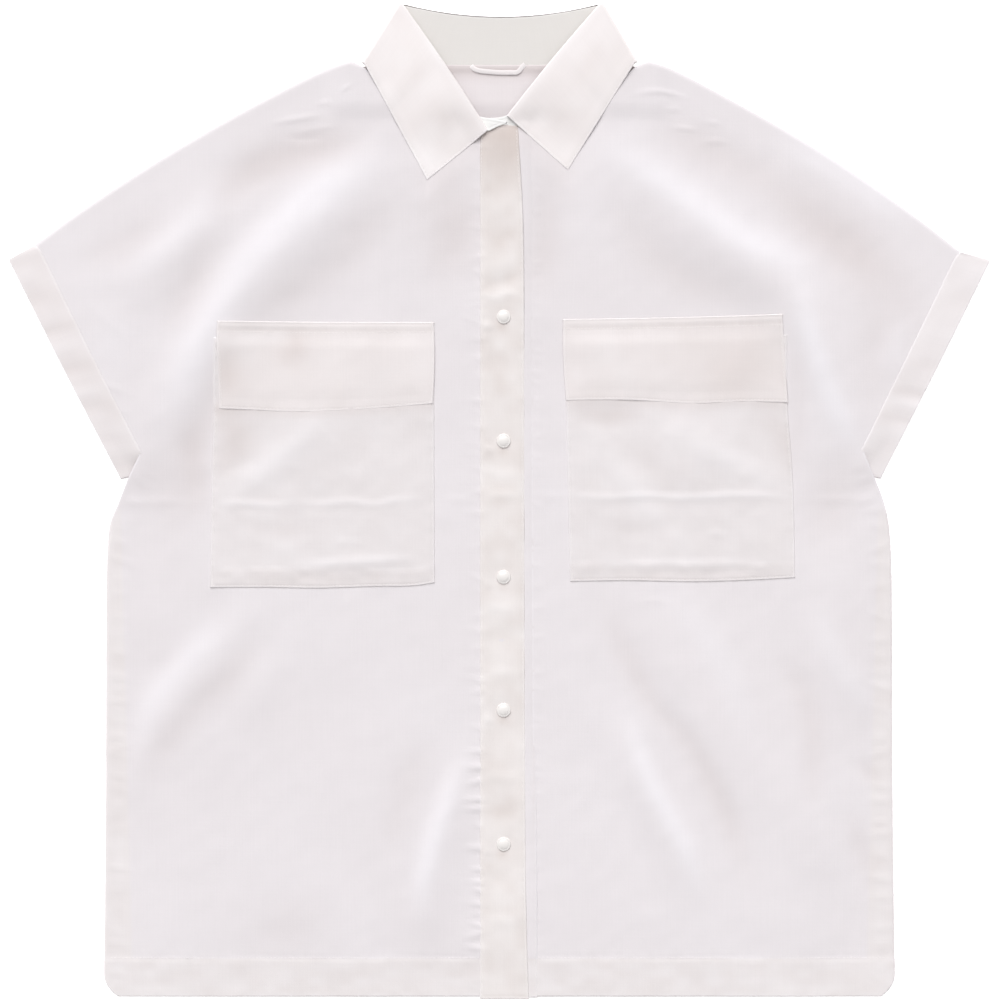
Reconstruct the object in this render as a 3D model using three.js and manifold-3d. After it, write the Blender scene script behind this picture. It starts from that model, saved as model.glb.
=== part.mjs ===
// A loose, short-sleeved blouse of thin white cotton, laid flat on a surface with its front up.
// Millimetres. X runs across the body, Y from the hem to the collar, Z up from the surface.
// The sleeves are cut in one with the fronts and the back, and end in turned-up cuffs.
import * as THREE from 'three';
import { mergeVertices } from 'three/addons/utils/BufferGeometryUtils.js';
import Module from 'manifold-3d';

const wasm = await Module();
wasm.setup();

// Walls and gaps
const clothWall = 1.0; // a single layer of cloth
const bandWall = 1.4; // a band, leaf or flap of two layers and more
const seamGap = 0.3; // between two pieces at a seam, and between layers
const layerStep = clothWall + seamGap;
const gridStep = 16; // spacing of the points that carry the folds of the cloth
const cutterDepth = 80; // more than any wall's height, to cut an outline through it

// Height of the air that stays between the fronts and the back
const bodyPuff = 2.0;
const puffReach = 70; // distance from a sewn edge at which the puff is full
const foldReach = 26; // distance from a sewn edge at which a fold is full
const hemPuff = { share: 0.35, reach: 60 }; // share of the puff that is left at the hem
const leafPress = { lift: 0.7, slope: 0.12 }; // the leaf holds the fronts down under and near it
const hemY = -357.8;
const cornerRadius = 10;

// The closure: the left band laps over the right one
const placket = { seamX: -14, topY: 264.1, bottomY: -359.3 };
const button = { x: 3, radius: 5.1, rim: 1.1, height: 2.5 };
const buttonRows = [131.8, 42.5, -55.4, -151.2, -247.7];

// The neck: a stand round the opening, and a leaf that folds down over it
const neckSeamY = 312.4; // the straight seam between the back and the stand
const collarAxis = 3.3; // height about which leaf and stand turn at the sides of the neck
const leafTurn = collarAxis - bandWall / 2;
const standTurn = collarAxis - bandWall - seamGap - clothWall / 2;
const backFold = { centreY: 348.3, rise: 9.2 }; // top edge of the collar behind the neck
const backEdge = { centreY: 303.5, rise: 10.2 }; // lower edge of the leaf under the back
const standStart = { front: 2.2, back: 1 }; // from the fold to the top edge of the stand

// Heights of the front leaf over the turning axis, at its corner and point, and what its fold,
// its edge and its middle rise above straight lines
const leafRise = { corner: 4.2, point: 1.9, foldArch: 1.9, edgeArch: 0.5, roll: 1.4 };

// The back rises over the leaf between these rows and columns of the grid
const neckRamp = { lowY: 17 * gridStep, highY: 18 * gridStep, innerX: 7 * gridStep, outerX: 8 * gridStep };

const collar = {
  left: {
    corner: { x: -8.3, y: 266 },
    point: { x: -52.2, y: 230.4 },
    creaseFold: { x: -72.5, y: 358.8 },
    creaseEdge: { x: -100, y: 315.5 },
    seamEnd: { x: -95.6, y: neckSeamY + 0.2 },
  },
  right: {
    corner: { x: 5.4, y: 276.5 },
    point: { x: 49.3, y: 237.6 },
    creaseFold: { x: 75, y: 358.8 },
    creaseEdge: { x: 100, y: 316 },
    seamEnd: { x: 95.6, y: neckSeamY + 0.2 },
  },
};

// Front neck seam: share is how far along the leaf's fold the stand's section starts, and sink
// how much lower than the fold's lip it runs there
const neckSeam = {
  left: [
    { share: 0.15, x: -16, y: 264.6, sink: 1.4 },
    { share: 0.4, x: -38, y: 269.5, sink: 0.2 },
    { share: 0.7, x: -66, y: 286, sink: 0 },
  ],
  right: [
    { share: 0.15, x: 18, y: 264.8, sink: 1.4 },
    { share: 0.4, x: 40, y: 270, sink: 0.2 },
    { share: 0.7, x: 67, y: 287, sink: 0 },
  ],
};

// The stand's two ends past the leaf, the left one on top
const standEnds = {
  left: [
    { topX: 4.5, topY: 271.5, seamX: 3, seamY: 265.6, topRise: 2, seamRise: 1.7 },
    { topX: -4, topY: 274, seamX: -5, seamY: 264.9, topRise: 2, seamRise: 1.7 },
  ],
  right: [
    { topX: -9, topY: 272.6, seamX: -9, seamY: 265.5, topRise: 0.6, seamRise: 0 },
    { topX: 4, topY: 275, seamX: 4, seamY: 265, topRise: 0.7, seamRise: 0 },
  ],
};

// Outer edges of the fronts and the back, from the neck down to the hem
const edges = {
  left: {
    shoulder: [
      { x: -97, y: 311.2 },
      { x: -101.8, y: 314.2 },
      { x: -107, y: 316.3 },
      { x: -122, y: 311.8 },
      { x: -170.3, y: 288 },
      { x: -245.9, y: 244.8 },
      { x: -311.4, y: 201.6 },
      { x: -334.9, y: 183.9 },
    ],
    side: [
      { x: -258, y: 31 },
      { x: -265, y: 16.6 },
      { x: -274.7, y: -2.9 },
      { x: -280.4, y: -16 },
      { x: -282.8, y: -38 },
      { x: -284, y: -230.4 },
      { x: -285, y: -338 },
    ],
  },
  right: {
    shoulder: [
      { x: 97, y: 311.2 },
      { x: 101.8, y: 314.2 },
      { x: 107, y: 316.3 },
      { x: 122, y: 311.8 },
      { x: 168.1, y: 288 },
      { x: 241.6, y: 244.8 },
      { x: 303.5, y: 201.6 },
      { x: 332.2, y: 179 },
    ],
    side: [
      { x: 261, y: 33.5 },
      { x: 268, y: 16.6 },
      { x: 275.5, y: 2 },
      { x: 280, y: -13 },
      { x: 282.4, y: -38 },
      { x: 283.6, y: -230.4 },
      { x: 285, y: -338 },
    ],
  },
};

// Cuffs: the seamed and the open edge of the flat band, share runs from the shoulder to the underarm.
// The seamed edge bends where the body's fold lies over it.
const cuffs = {
  left: {
    seam: [
      { share: 0, x: -335.3, y: 183.7 },
      { share: 0.92, x: -258.6, y: 31 },
      { share: 1, x: -265.6, y: 16.5 },
    ],
    open: [
      { share: 0, x: -354, y: 173.6 },
      { share: 1, x: -272.9, y: 14.9 },
    ],
  },
  right: {
    seam: [
      { share: 0, x: 332.7, y: 178.8 },
      { share: 0.92, x: 261.6, y: 33.5 },
      { share: 1, x: 268.6, y: 16.5 },
    ],
    open: [
      { share: 0, x: 354, y: 173.2 },
      { share: 1, x: 274.6, y: 15.2 },
    ],
  },
};
const cuffTurn = { ends: 1.0, middle: 1.9 }; // half the distance between its two layers

// The largest folds, as soft ridges along a line: reach is the half width, height the rise
const folds = [
  { height: 4.6, reach: 21, line: [[-92, 238], [-144, 202], [-192, 158], [-216, 120], [-239, 72], [-254, 36]] },
  { height: 2.8, reach: 17, line: [[-205, 225], [-264, 149]] },
  { height: 3.4, reach: 22, line: [[-177.5, -81.4], [-263.9, -192.2]] },
  { height: 3.0, reach: 18, line: [[-24, -177.8], [-71.6, -302.4]] },
  { height: 2.4, reach: 34, line: [[-150, 52], [-112, 40]] },
  { height: 4.2, reach: 20, line: [[84, 248], [121, 221], [168, 197], [211, 172], [224, 152], [229, 108], [256, 40]] },
  { height: 3.4, reach: 24, line: [[63, -72], [144.4, -264.2]] },
  { height: 2.6, reach: 22, line: [[236, -20], [262, -170]] },
  { height: 2.2, reach: 30, line: [[112, 44], [170, 30]] },
  { height: 2.0, reach: 20, line: [[200, -150], [236, -290]] },
];

// Pockets and flaps, corners from the top left clockwise as seen from above
const pockets = {
  left: [
    { x: -205.3, y: 117 },
    { x: -47, y: 117 },
    { x: -46.4, y: -59.8 },
    { x: -61, y: -62 },
    { x: -133, y: -63.4 },
    { x: -208.4, y: -63.4 },
  ],
  right: [
    { x: 46.8, y: 119 },
    { x: 207, y: 119 },
    { x: 207.7, y: 63.4 },
    { x: 211.3, y: 21.6 },
    { x: 212.8, y: -56.2 },
    { x: 137.2, y: -59 },
    { x: 50.8, y: -59 },
  ],
};
const flaps = {
  left: [
    { x: -202.7, y: 128.9 },
    { x: -47.2, y: 128.2 },
    { x: -47.9, y: 69.1 },
    { x: -89.6, y: 65.5 },
    { x: -157.3, y: 63.4 },
    { x: -202, y: 65.5 },
  ],
  right: [
    { x: 45.7, y: 130.3 },
    { x: 203.4, y: 133.9 },
    { x: 207.7, y: 69.8 },
    { x: 137.2, y: 69.1 },
    { x: 94, y: 72 },
    { x: 47.9, y: 71.3 },
  ],
};

// Free edge of the upper band, and the line where the right front meets its own band
const placketEdge = [
  { x: 13.5, y: placket.topY },
  { x: 17.6, y: 144 },
  { x: 18.4, y: -150 },
  { x: 21.2, y: placket.bottomY },
];
const underBand = { freeX: -9, seamTopX: 25, seamBottomX: 27.6, bottomY: -358.4 };

// The hanging loop, a narrow tape across the neck seam of the back
const loopTape = { width: 2.6, wall: 1.0 };
const loopPath = [
  { x: -20.5, y: 312.6 },
  { x: -15.5, y: 309.4 },
  { x: -1.8, y: 308 },
  { x: 12.6, y: 308 },
  { x: 18.4, y: 314 },
];

const smooth = (from, to, value) => THREE.MathUtils.smoothstep(value, from, to);
const mix = THREE.MathUtils.lerp;
const flat = (p) => new THREE.Vector2(p.x, p.y);
const between = (a, b, share) => flat(a).lerp(flat(b), share);

function distanceToLine(x, y, points) {
  const here = new THREE.Vector3(x, y, 0);
  let nearest = Infinity;
  for (let i = 1; i < points.length; i++) {
    const from = new THREE.Vector3(points[i - 1][0], points[i - 1][1], 0);
    const to = new THREE.Vector3(points[i][0], points[i][1], 0);
    const onLine = new THREE.Line3(from, to).closestPointToPoint(here, true, new THREE.Vector3());
    nearest = Math.min(nearest, onLine.distanceTo(here));
  }
  return nearest;
}

const asPairs = (points) => points.map((p) => [p.x, p.y]);
const sewnLines = [edges.left, edges.right].flatMap((edge) => [
  asPairs(edge.shoulder),
  asPairs([...edge.side, { x: edge.side.at(-1).x, y: hemY }]),
]);

function distanceToSewnEdge(x, y) {
  return Math.min(...sewnLines.map((line) => distanceToLine(x, y, line)));
}

// Distance outside a collar leaf in plan, 0 under it
function distanceFromLeaf(x, y, leaf) {
  const loop = [leaf.corner, leaf.point, leaf.creaseEdge, leaf.creaseFold].map(flat);
  const centre = loop.reduce((sum, p) => sum.add(p), new THREE.Vector2()).divideScalar(loop.length);
  let outside = 0;
  loop.forEach((p, i) => {
    const along = loop[(i + 1) % loop.length].clone().sub(p).normalize();
    const away = new THREE.Vector2(along.y, -along.x);
    if (away.dot(centre.clone().sub(p)) > 0) away.negate();
    outside = Math.max(outside, away.dot(new THREE.Vector2(x, y).sub(p)));
  });
  return outside;
}

// Rise of the back over the part of the leaf that lies under it
function neckRise(x, y) {
  const rows = smooth(neckRamp.lowY, neckRamp.highY, y);
  const columns = 1 - smooth(neckRamp.innerX, neckRamp.outerX, Math.abs(x));
  return (bandWall + seamGap) * rows * columns;
}

// Lift of the fronts off the back: air between the layers, and the folds
function frontLift(x, y) {
  const fromEdge = distanceToSewnEdge(x, y);
  const hemShare = mix(hemPuff.share, 1, smooth(hemY, hemY + hemPuff.reach, y));
  let lift = bodyPuff * smooth(0, puffReach, fromEdge) * hemShare;
  for (const fold of folds) {
    const away = distanceToLine(x, y, fold.line) / fold.reach;
    lift += fold.height * Math.exp(-away * away) * smooth(0, foldReach, fromEdge);
  }
  for (const leaf of [collar.left, collar.right]) {
    lift = Math.min(lift, leafPress.lift + leafPress.slope * distanceFromLeaf(x, y, leaf));
  }
  return lift;
}

const backUnderside = (x, y) => neckRise(x, y);
const frontUnderside = (x, y) => layerStep + neckRise(x, y) + frontLift(x, y);

function solidOf(geometry) {
  const bare = geometry.clone();
  bare.deleteAttribute('normal');
  bare.deleteAttribute('uv');
  const merged = mergeVertices(bare, 1e-4);
  return new wasm.Manifold(new wasm.Mesh({
    numProp: 3,
    vertProperties: merged.attributes.position.array,
    triVerts: new Uint32Array(merged.index.array),
  }));
}

function geometryOf(solid) {
  const mesh = solid.getMesh();
  const geometry = new THREE.BufferGeometry();
  geometry.setAttribute('position', new THREE.BufferAttribute(mesh.vertProperties, 3));
  geometry.setIndex(new THREE.BufferAttribute(mesh.triVerts, 1));
  geometry.computeVertexNormals();
  return geometry;
}

// Height of a surface between its grid points, on the same two triangles that its wall has
function heightOnGrid(surface, x, y) {
  const column = Math.floor(x / gridStep);
  const row = Math.floor(y / gridStep);
  const at = (i, j) => surface((column + i) * gridStep, (row + j) * gridStep);
  const across = x / gridStep - column;
  const up = y / gridStep - row;
  const low = at(0, 0);
  const high = at(1, 1);
  return across >= up
    ? low + across * (at(1, 0) - low) + up * (high - at(1, 0))
    : low + up * (at(0, 1) - low) + across * (high - at(0, 1));
}

// Grid lines at every step, from just below the lowest value to just above the highest one
function gridLines(low, high) {
  const lines = [];
  for (let n = Math.floor(low / gridStep) - 1; n <= Math.ceil(high / gridStep) + 1; n++) {
    lines.push(n * gridStep);
  }
  return lines;
}

// A wall of cloth on a surface: raised above it, and cut to an outline in plan
function clothOn(surface, raise, wall, outline, lines = {}) {
  const box = new THREE.Box2().setFromPoints(outline.map(flat));
  const across = lines.across ?? gridLines(box.min.x, box.max.x);
  const along = lines.along ?? gridLines(box.min.y, box.max.y);
  const columns = across.length - 1;
  const rows = along.length - 1;
  const points = [];
  for (const top of [0, wall]) {
    for (const y of along) {
      for (const x of across) points.push(x, y, surface(x, y) + raise + top);
    }
  }
  const perLayer = (columns + 1) * (rows + 1);
  const at = (i, j) => j * (columns + 1) + i;
  const faces = [];
  for (let j = 0; j < rows; j++) {
    for (let i = 0; i < columns; i++) {
      const [a, b, c, d] = [at(i, j), at(i + 1, j), at(i + 1, j + 1), at(i, j + 1)];
      faces.push(a, c, b, a, d, c);
      faces.push(a + perLayer, b + perLayer, c + perLayer, a + perLayer, c + perLayer, d + perLayer);
    }
  }
  const wallBetween = (a, b) => faces.push(a, b, b + perLayer, a, b + perLayer, a + perLayer);
  for (let i = 0; i < columns; i++) {
    wallBetween(at(i, 0), at(i + 1, 0));
    wallBetween(at(i + 1, rows), at(i, rows));
  }
  for (let j = 0; j < rows; j++) {
    wallBetween(at(columns, j), at(columns, j + 1));
    wallBetween(at(0, j + 1), at(0, j));
  }
  const slab = new THREE.BufferGeometry();
  slab.setAttribute('position', new THREE.Float32BufferAttribute(points, 3));
  slab.setIndex(faces);
  const shape = new THREE.Shape(outline.map(flat));
  const cutter = new THREE.ExtrudeGeometry(shape, { depth: cutterDepth, bevelEnabled: false });
  cutter.translate(0, 0, -cutterDepth / 2);
  return geometryOf(solidOf(slab).intersect(solidOf(cutter)));
}

// A solid through sections of the same number of points, each a strip with two sides
function loft(sections, closed = false) {
  const rings = sections.map((s) => [...s.upper, ...[...s.lower].reverse()]);
  const count = rings[0].length;
  const points = rings.flat().flatMap((p) => [p.x, p.y, p.z]);
  const faces = [];
  const runs = closed ? rings.length : rings.length - 1;
  for (let s = 0; s < runs; s++) {
    const here = s * count;
    const next = ((s + 1) % rings.length) * count;
    for (let k = 0; k < count; k++) {
      const after = (k + 1) % count;
      faces.push(here + k, next + after, here + after, here + k, next + k, next + after);
    }
  }
  if (!closed) {
    for (const [start, turned] of [[0, false], [(rings.length - 1) * count, true]]) {
      for (let k = 0; k + 1 < count / 2; k++) {
        const [a, b] = [start + k, start + k + 1];
        const [c, d] = [start + count - 2 - k, start + count - 1 - k];
        if (turned) faces.push(a, c, b, a, d, c);
        else faces.push(a, b, c, a, c, d);
      }
    }
  }
  const geometry = new THREE.BufferGeometry();
  geometry.setAttribute('position', new THREE.Float32BufferAttribute(points, 3));
  geometry.setIndex(faces);
  return facingOut(geometry);
}

// Turns the faces round where they point inwards
function facingOut(geometry) {
  const solid = solidOf(geometry);
  if (solid.volume() > 0) return geometry;
  const index = geometry.index.array;
  for (let i = 0; i < index.length; i += 3) {
    [index[i + 1], index[i + 2]] = [index[i + 2], index[i + 1]];
  }
  return geometry;
}

// A strip's section: a line of points (along, out) thickened by half a wall on both sides
function stripSection(line, wall, place) {
  const upper = [];
  const lower = [];
  line.forEach((p, i) => {
    const before = line[Math.max(i - 1, 0)];
    const after = line[Math.min(i + 1, line.length - 1)];
    const into = p.clone().sub(before).normalize();
    const onward = after.clone().sub(p).normalize();
    const way = into.clone().add(onward).normalize();
    const bend = Math.max(0.6, Math.abs(i > 0 && i < line.length - 1 ? way.dot(onward) : 1));
    const side = new THREE.Vector2(-way.y, way.x).multiplyScalar(wall / 2 / bend);
    upper.push(place(p.clone().add(side)));
    lower.push(place(p.clone().sub(side)));
  });
  return { upper, lower };
}

// Places section points of a collar station: along runs from the fold, out is off the turning axis
function placer(fold, toward, away, turn) {
  const along = toward.clone().sub(fold).normalize();
  const [level, rise] = [Math.cos(turn), Math.sin(turn)];
  return (p) => new THREE.Vector3(
    fold.x + along.x * p.x + away.x * level * p.y,
    fold.y + along.y * p.x + away.y * level * p.y,
    collarAxis + rise * p.y,
  );
}

// Fold and edge of a leaf at the side of the neck, set in from its outline by the turn
function creaseOf(side) {
  const fold = flat(side.creaseFold);
  const edge = flat(side.creaseEdge);
  const along = edge.clone().sub(fold).normalize();
  const away = new THREE.Vector2(along.y, -along.x).multiplyScalar(Math.sign(fold.x) * -1);
  const inset = away.clone().multiplyScalar(-(leafTurn + bandWall / 2));
  return { fold: fold.add(inset), edge: edge.add(inset), away };
}

const arch = (share) => Math.sin(Math.PI * share);
const foldHeight = (share) => mix(leafRise.corner, leafTurn, share) + leafRise.foldArch * arch(share);
const edgeHeight = (share) => mix(leafRise.point, leafTurn, share) + leafRise.edgeArch * arch(share);

// Stations of the collar from one front corner round the neck to the other
function collarStations() {
  const frontSteps = 7;
  const creaseSteps = 5;
  const backSteps = 8;
  const front = (side) => {
    const crease = creaseOf(side);
    const stations = [];
    for (let i = 0; i < frontSteps; i++) {
      const share = i / frontSteps;
      stations.push({
        fold: between(side.corner, crease.fold, share),
        edge: between(side.point, crease.edge, share),
        away: crease.away,
        turn: Math.PI / 2,
        foldOut: foldHeight(share),
        edgeOut: edgeHeight(share),
        roll: leafRise.roll * (1 - share * share),
      });
    }
    for (let i = 0; i <= creaseSteps; i++) {
      const turn = mix(Math.PI / 2, -Math.PI / 2, i / creaseSteps);
      stations.push({ ...crease, turn, foldOut: leafTurn, edgeOut: leafTurn, roll: 0 });
    }
    return stations;
  };
  const left = front(collar.left);
  const right = front(collar.right);
  const back = [];
  const from = left.at(-1);
  const to = right.at(-1);
  for (let i = 1; i < backSteps; i++) {
    const share = i / backSteps;
    const fold = between(from.fold, to.fold, share);
    const edge = between(from.edge, to.edge, share);
    const off = (2 * share - 1) ** 2;
    fold.y = backFold.centreY + backFold.rise * off;
    edge.y = backEdge.centreY + backEdge.rise * off;
    back.push({ ...from, fold, edge });
  }
  return [...left, ...back, ...right.reverse()];
}

function collarLeaf() {
  const across = 6;
  const sections = collarStations().map((s) => {
    const width = s.edge.distanceTo(s.fold);
    const line = [];
    for (let k = 0; k <= across; k++) {
      const share = 1 - k / across;
      const out = mix(s.foldOut, s.edgeOut, share) + s.roll * arch(share);
      line.push(new THREE.Vector2(width * share, out));
    }
    line.push(new THREE.Vector2(0, s.foldOut - (leafTurn - standTurn)));
    return stripSection(line, bandWall, placer(s.fold, s.edge, s.away, s.turn));
  });
  return loft(sections);
}

// The stand is sewn to the neck edge and ends just inside the leaf's fold
function collarStand() {
  const section = (top, seam, away, turn, topOut, seamOut) => {
    const startAlong = turn === Math.PI / 2 ? standStart.front : standStart.back;
    const width = seam.distanceTo(top);
    const line = [];
    for (const share of [1, 0.66, 0.33, 0]) {
      line.push(new THREE.Vector2(mix(startAlong, width, share), mix(topOut, seamOut, share)));
    }
    return stripSection(line, clothWall, placer(top, seam, away, turn));
  };
  const front = (name) => {
    const side = collar[name];
    const crease = creaseOf(side);
    const seamEnd = flat(side.seamEnd);
    const sections = standEnds[name].map((end) => section(
      new THREE.Vector2(end.topX, end.topY),
      new THREE.Vector2(end.seamX, end.seamY),
      crease.away,
      Math.PI / 2,
      end.topRise,
      end.seamRise,
    ));
    for (const row of neckSeam[name]) {
      const seamOut = heightOnGrid(frontUnderside, row.x, row.y) + clothWall / 2 - collarAxis;
      const topOut = foldHeight(row.share) - (leafTurn - standTurn) - row.sink;
      const top = between(side.corner, crease.fold, row.share);
      sections.push(section(top, flat(row), crease.away, Math.PI / 2, topOut, seamOut));
    }
    for (const turn of [90, 45, 0, -45, -90].map(THREE.MathUtils.degToRad)) {
      sections.push(section(crease.fold, seamEnd, crease.away, turn, standTurn, standTurn));
    }
    return sections;
  };
  const left = front('left');
  const right = front('right');
  const from = creaseOf(collar.left);
  const to = creaseOf(collar.right);
  const back = [];
  const backSteps = 8;
  for (let i = 1; i < backSteps; i++) {
    const share = i / backSteps;
    const top = between(from.fold, to.fold, share);
    const seam = between(collar.left.seamEnd, collar.right.seamEnd, share);
    top.y = backFold.centreY + backFold.rise * (2 * share - 1) ** 2;
    back.push(section(top, seam, from.away, -Math.PI / 2, standTurn, standTurn));
  }
  return loft([...left, ...back, ...right.reverse()]);
}

// Place on an edge whose points carry their share of its length
function pointAlong(edge, share) {
  const next = Math.max(1, edge.findIndex((p) => p.share >= share));
  const [from, to] = [edge[next - 1], edge[next]];
  return between(from, to, (share - from.share) / (to.share - from.share));
}

// A cuff is a flattened tube of doubled cloth, open at both of its long edges
function cuffTube(cuff) {
  const lengthSteps = 12;
  const turnSteps = 4;
  const length = flat(cuff.open[0]).distanceTo(flat(cuff.open[1]));
  const stations = [];
  const station = (share, angle) => {
    const turn = mix(cuffTurn.ends, cuffTurn.middle, arch(share));
    stations.push({ share, turn, angle });
  };
  for (let i = 0; i <= lengthSteps; i++) station(i / lengthSteps, Math.PI / 2);
  for (let i = 1; i < turnSteps; i++) station(1, Math.PI / 2 - Math.PI * i / turnSteps);
  for (let i = lengthSteps; i >= 0; i--) station(i / lengthSteps, -Math.PI / 2);
  for (let i = 1; i < turnSteps; i++) station(0, -Math.PI / 2 - Math.PI * i / turnSteps);
  const sections = stations.map(({ share, turn, angle }) => {
    const half = bandWall / 2;
    const inset = (turn + half) / length;
    const inner = mix(inset, 1 - inset, share) + turn * Math.cos(angle) / length;
    const point = (edge, radius) => {
      const reach = inner + (radius - turn) * Math.cos(angle) / length;
      const place = pointAlong(edge, reach);
      return new THREE.Vector3(place.x, place.y, half + turn + radius * Math.sin(angle));
    };
    return {
      upper: [point(cuff.open, turn + half), point(cuff.seam, turn + half)],
      lower: [point(cuff.open, turn - half), point(cuff.seam, turn - half)],
    };
  });
  return loft(sections, true);
}

// Outline of one front between its side, its neck seam and its centre edge
function frontOutline(name, centreEdge) {
  const edge = edges[name];
  const neck = neckSeam[name].map((row) => ({ x: row.x, y: row.y - 0.5 }));
  return [...edge.shoulder, ...edge.side, ...hemCorner(edge), ...centreEdge, ...neck];
}

// Rounded corner between a side and the hem
function hemCorner(edge) {
  const side = edge.side.at(-1).x;
  const centreX = side - Math.sign(side) * cornerRadius;
  const points = [];
  for (const degrees of [0, 30, 60, 90]) {
    const angle = THREE.MathUtils.degToRad(degrees);
    points.push({
      x: centreX + Math.sign(side) * cornerRadius * Math.cos(angle),
      y: hemY + cornerRadius - cornerRadius * Math.sin(angle),
    });
  }
  return points;
}

function backOutline() {
  const half = (edge) => [...edge.shoulder, ...edge.side, ...hemCorner(edge)];
  const neckEdge = (x) => ({ x, y: neckSeamY - seamGap });
  return [neckEdge(-94), ...half(edges.left), ...half(edges.right).reverse(), neckEdge(94)];
}

// A button sits on the upper band, seated on the highest point under its rim
function buttonGeometry() {
  const profile = [new THREE.Vector2(0, 0), new THREE.Vector2(button.radius - 0.5, 0)];
  const crown = 5;
  for (let i = 0; i <= crown; i++) {
    const angle = (Math.PI / 2) * (i / crown);
    profile.push(new THREE.Vector2(
      i === crown ? 0 : button.radius * Math.cos(angle),
      button.rim + (button.height - button.rim) * Math.sin(angle),
    ));
  }
  return new THREE.LatheGeometry(profile, 20).rotateX(Math.PI / 2);
}

function buttonSeat(y) {
  let highest = 0;
  for (let i = 0; i < 12; i++) {
    const angle = (i / 12) * 2 * Math.PI;
    const x = button.x + button.radius * Math.cos(angle);
    const under = heightOnGrid(frontUnderside, x, y + button.radius * Math.sin(angle));
    highest = Math.max(highest, under);
  }
  return highest + layerStep + bandWall + seamGap;
}

function loopGeometry() {
  const base = heightOnGrid(backUnderside, 0, neckSeamY) + clothWall + seamGap;
  const sections = loopPath.map((p, i) => {
    const before = flat(loopPath[Math.max(i - 1, 0)]);
    const after = flat(loopPath[Math.min(i + 1, loopPath.length - 1)]);
    const way = after.sub(before).normalize();
    const side = new THREE.Vector2(-way.y, way.x).multiplyScalar(loopTape.width / 2);
    const corner = (sign, z) => new THREE.Vector3(p.x + sign * side.x, p.y + sign * side.y, z);
    return {
      upper: [corner(1, base + loopTape.wall), corner(-1, base + loopTape.wall)],
      lower: [corner(1, base), corner(-1, base)],
    };
  });
  return loft(sections);
}

const finishes = {
  bodyCloth: { color: 0xece7ea, roughness: 0.92 },
  bandCloth: { color: 0xf1ebe8, roughness: 0.9 },
  button: { color: 0xf4f0ee, roughness: 0.35 },
  tape: { color: 0xf3eeec, roughness: 0.75 },
};

const blouse = new THREE.Group();

function addPiece(name, finish, geometry) {
  const material = new THREE.MeshStandardMaterial({ metalness: 0, ...finishes[finish] });
  const mesh = new THREE.Mesh(geometry, material);
  mesh.name = name;
  blouse.add(mesh);
  return mesh;
}

const onFront = (raise, wall, outline) => clothOn(frontUnderside, raise, wall, outline);
const onPocket = layerStep * 2;

const leftCentre = [
  { x: placket.seamX - seamGap, y: hemY },
  { x: placket.seamX - seamGap, y: neckSeam.left[0].y - 0.5 },
];
const rightCentre = [
  { x: underBand.seamBottomX + seamGap, y: hemY },
  { x: underBand.seamTopX + seamGap, y: neckSeam.right[0].y },
];
const placketOutline = [
  { x: placket.seamX, y: placket.topY },
  ...placketEdge,
  { x: placket.seamX, y: placket.bottomY },
];
const underBandOutline = [
  { x: underBand.freeX, y: placket.topY },
  { x: underBand.seamTopX, y: placket.topY },
  { x: underBand.seamBottomX, y: underBand.bottomY },
  { x: underBand.freeX, y: underBand.bottomY },
];

const backLines = {
  across: [-23, -8, -7, 7, 8, 23].map((n) => n * gridStep),
  along: [-23, 17, 18, 20].map((n) => n * gridStep),
};
addPiece('back', 'bodyCloth', clothOn(backUnderside, 0, clothWall, backOutline(), backLines));
addPiece('front_left', 'bodyCloth', onFront(0, clothWall, frontOutline('left', leftCentre)));
addPiece('front_right', 'bodyCloth', onFront(0, clothWall, frontOutline('right', rightCentre)));
addPiece('under_placket', 'bandCloth', onFront(0, clothWall, underBandOutline));
addPiece('placket', 'bandCloth', onFront(layerStep, bandWall, placketOutline));
for (const name of ['left', 'right']) {
  addPiece(`pocket_${name}`, 'bodyCloth', onFront(layerStep, clothWall, pockets[name]));
  addPiece(`flap_${name}`, 'bandCloth', onFront(onPocket, bandWall, flaps[name]));
  addPiece(`cuff_${name}`, 'bandCloth', cuffTube(cuffs[name]));
}
addPiece('collar_stand', 'bandCloth', collarStand());
addPiece('collar_leaf', 'bandCloth', collarLeaf());
addPiece('hanger_loop', 'tape', loopGeometry());
buttonRows.forEach((y, i) => {
  const piece = addPiece(`button_${i + 1}`, 'button', buttonGeometry());
  piece.position.set(button.x, y, buttonSeat(y));
});

export default blouse;
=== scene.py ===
import math
from collections import namedtuple

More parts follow.
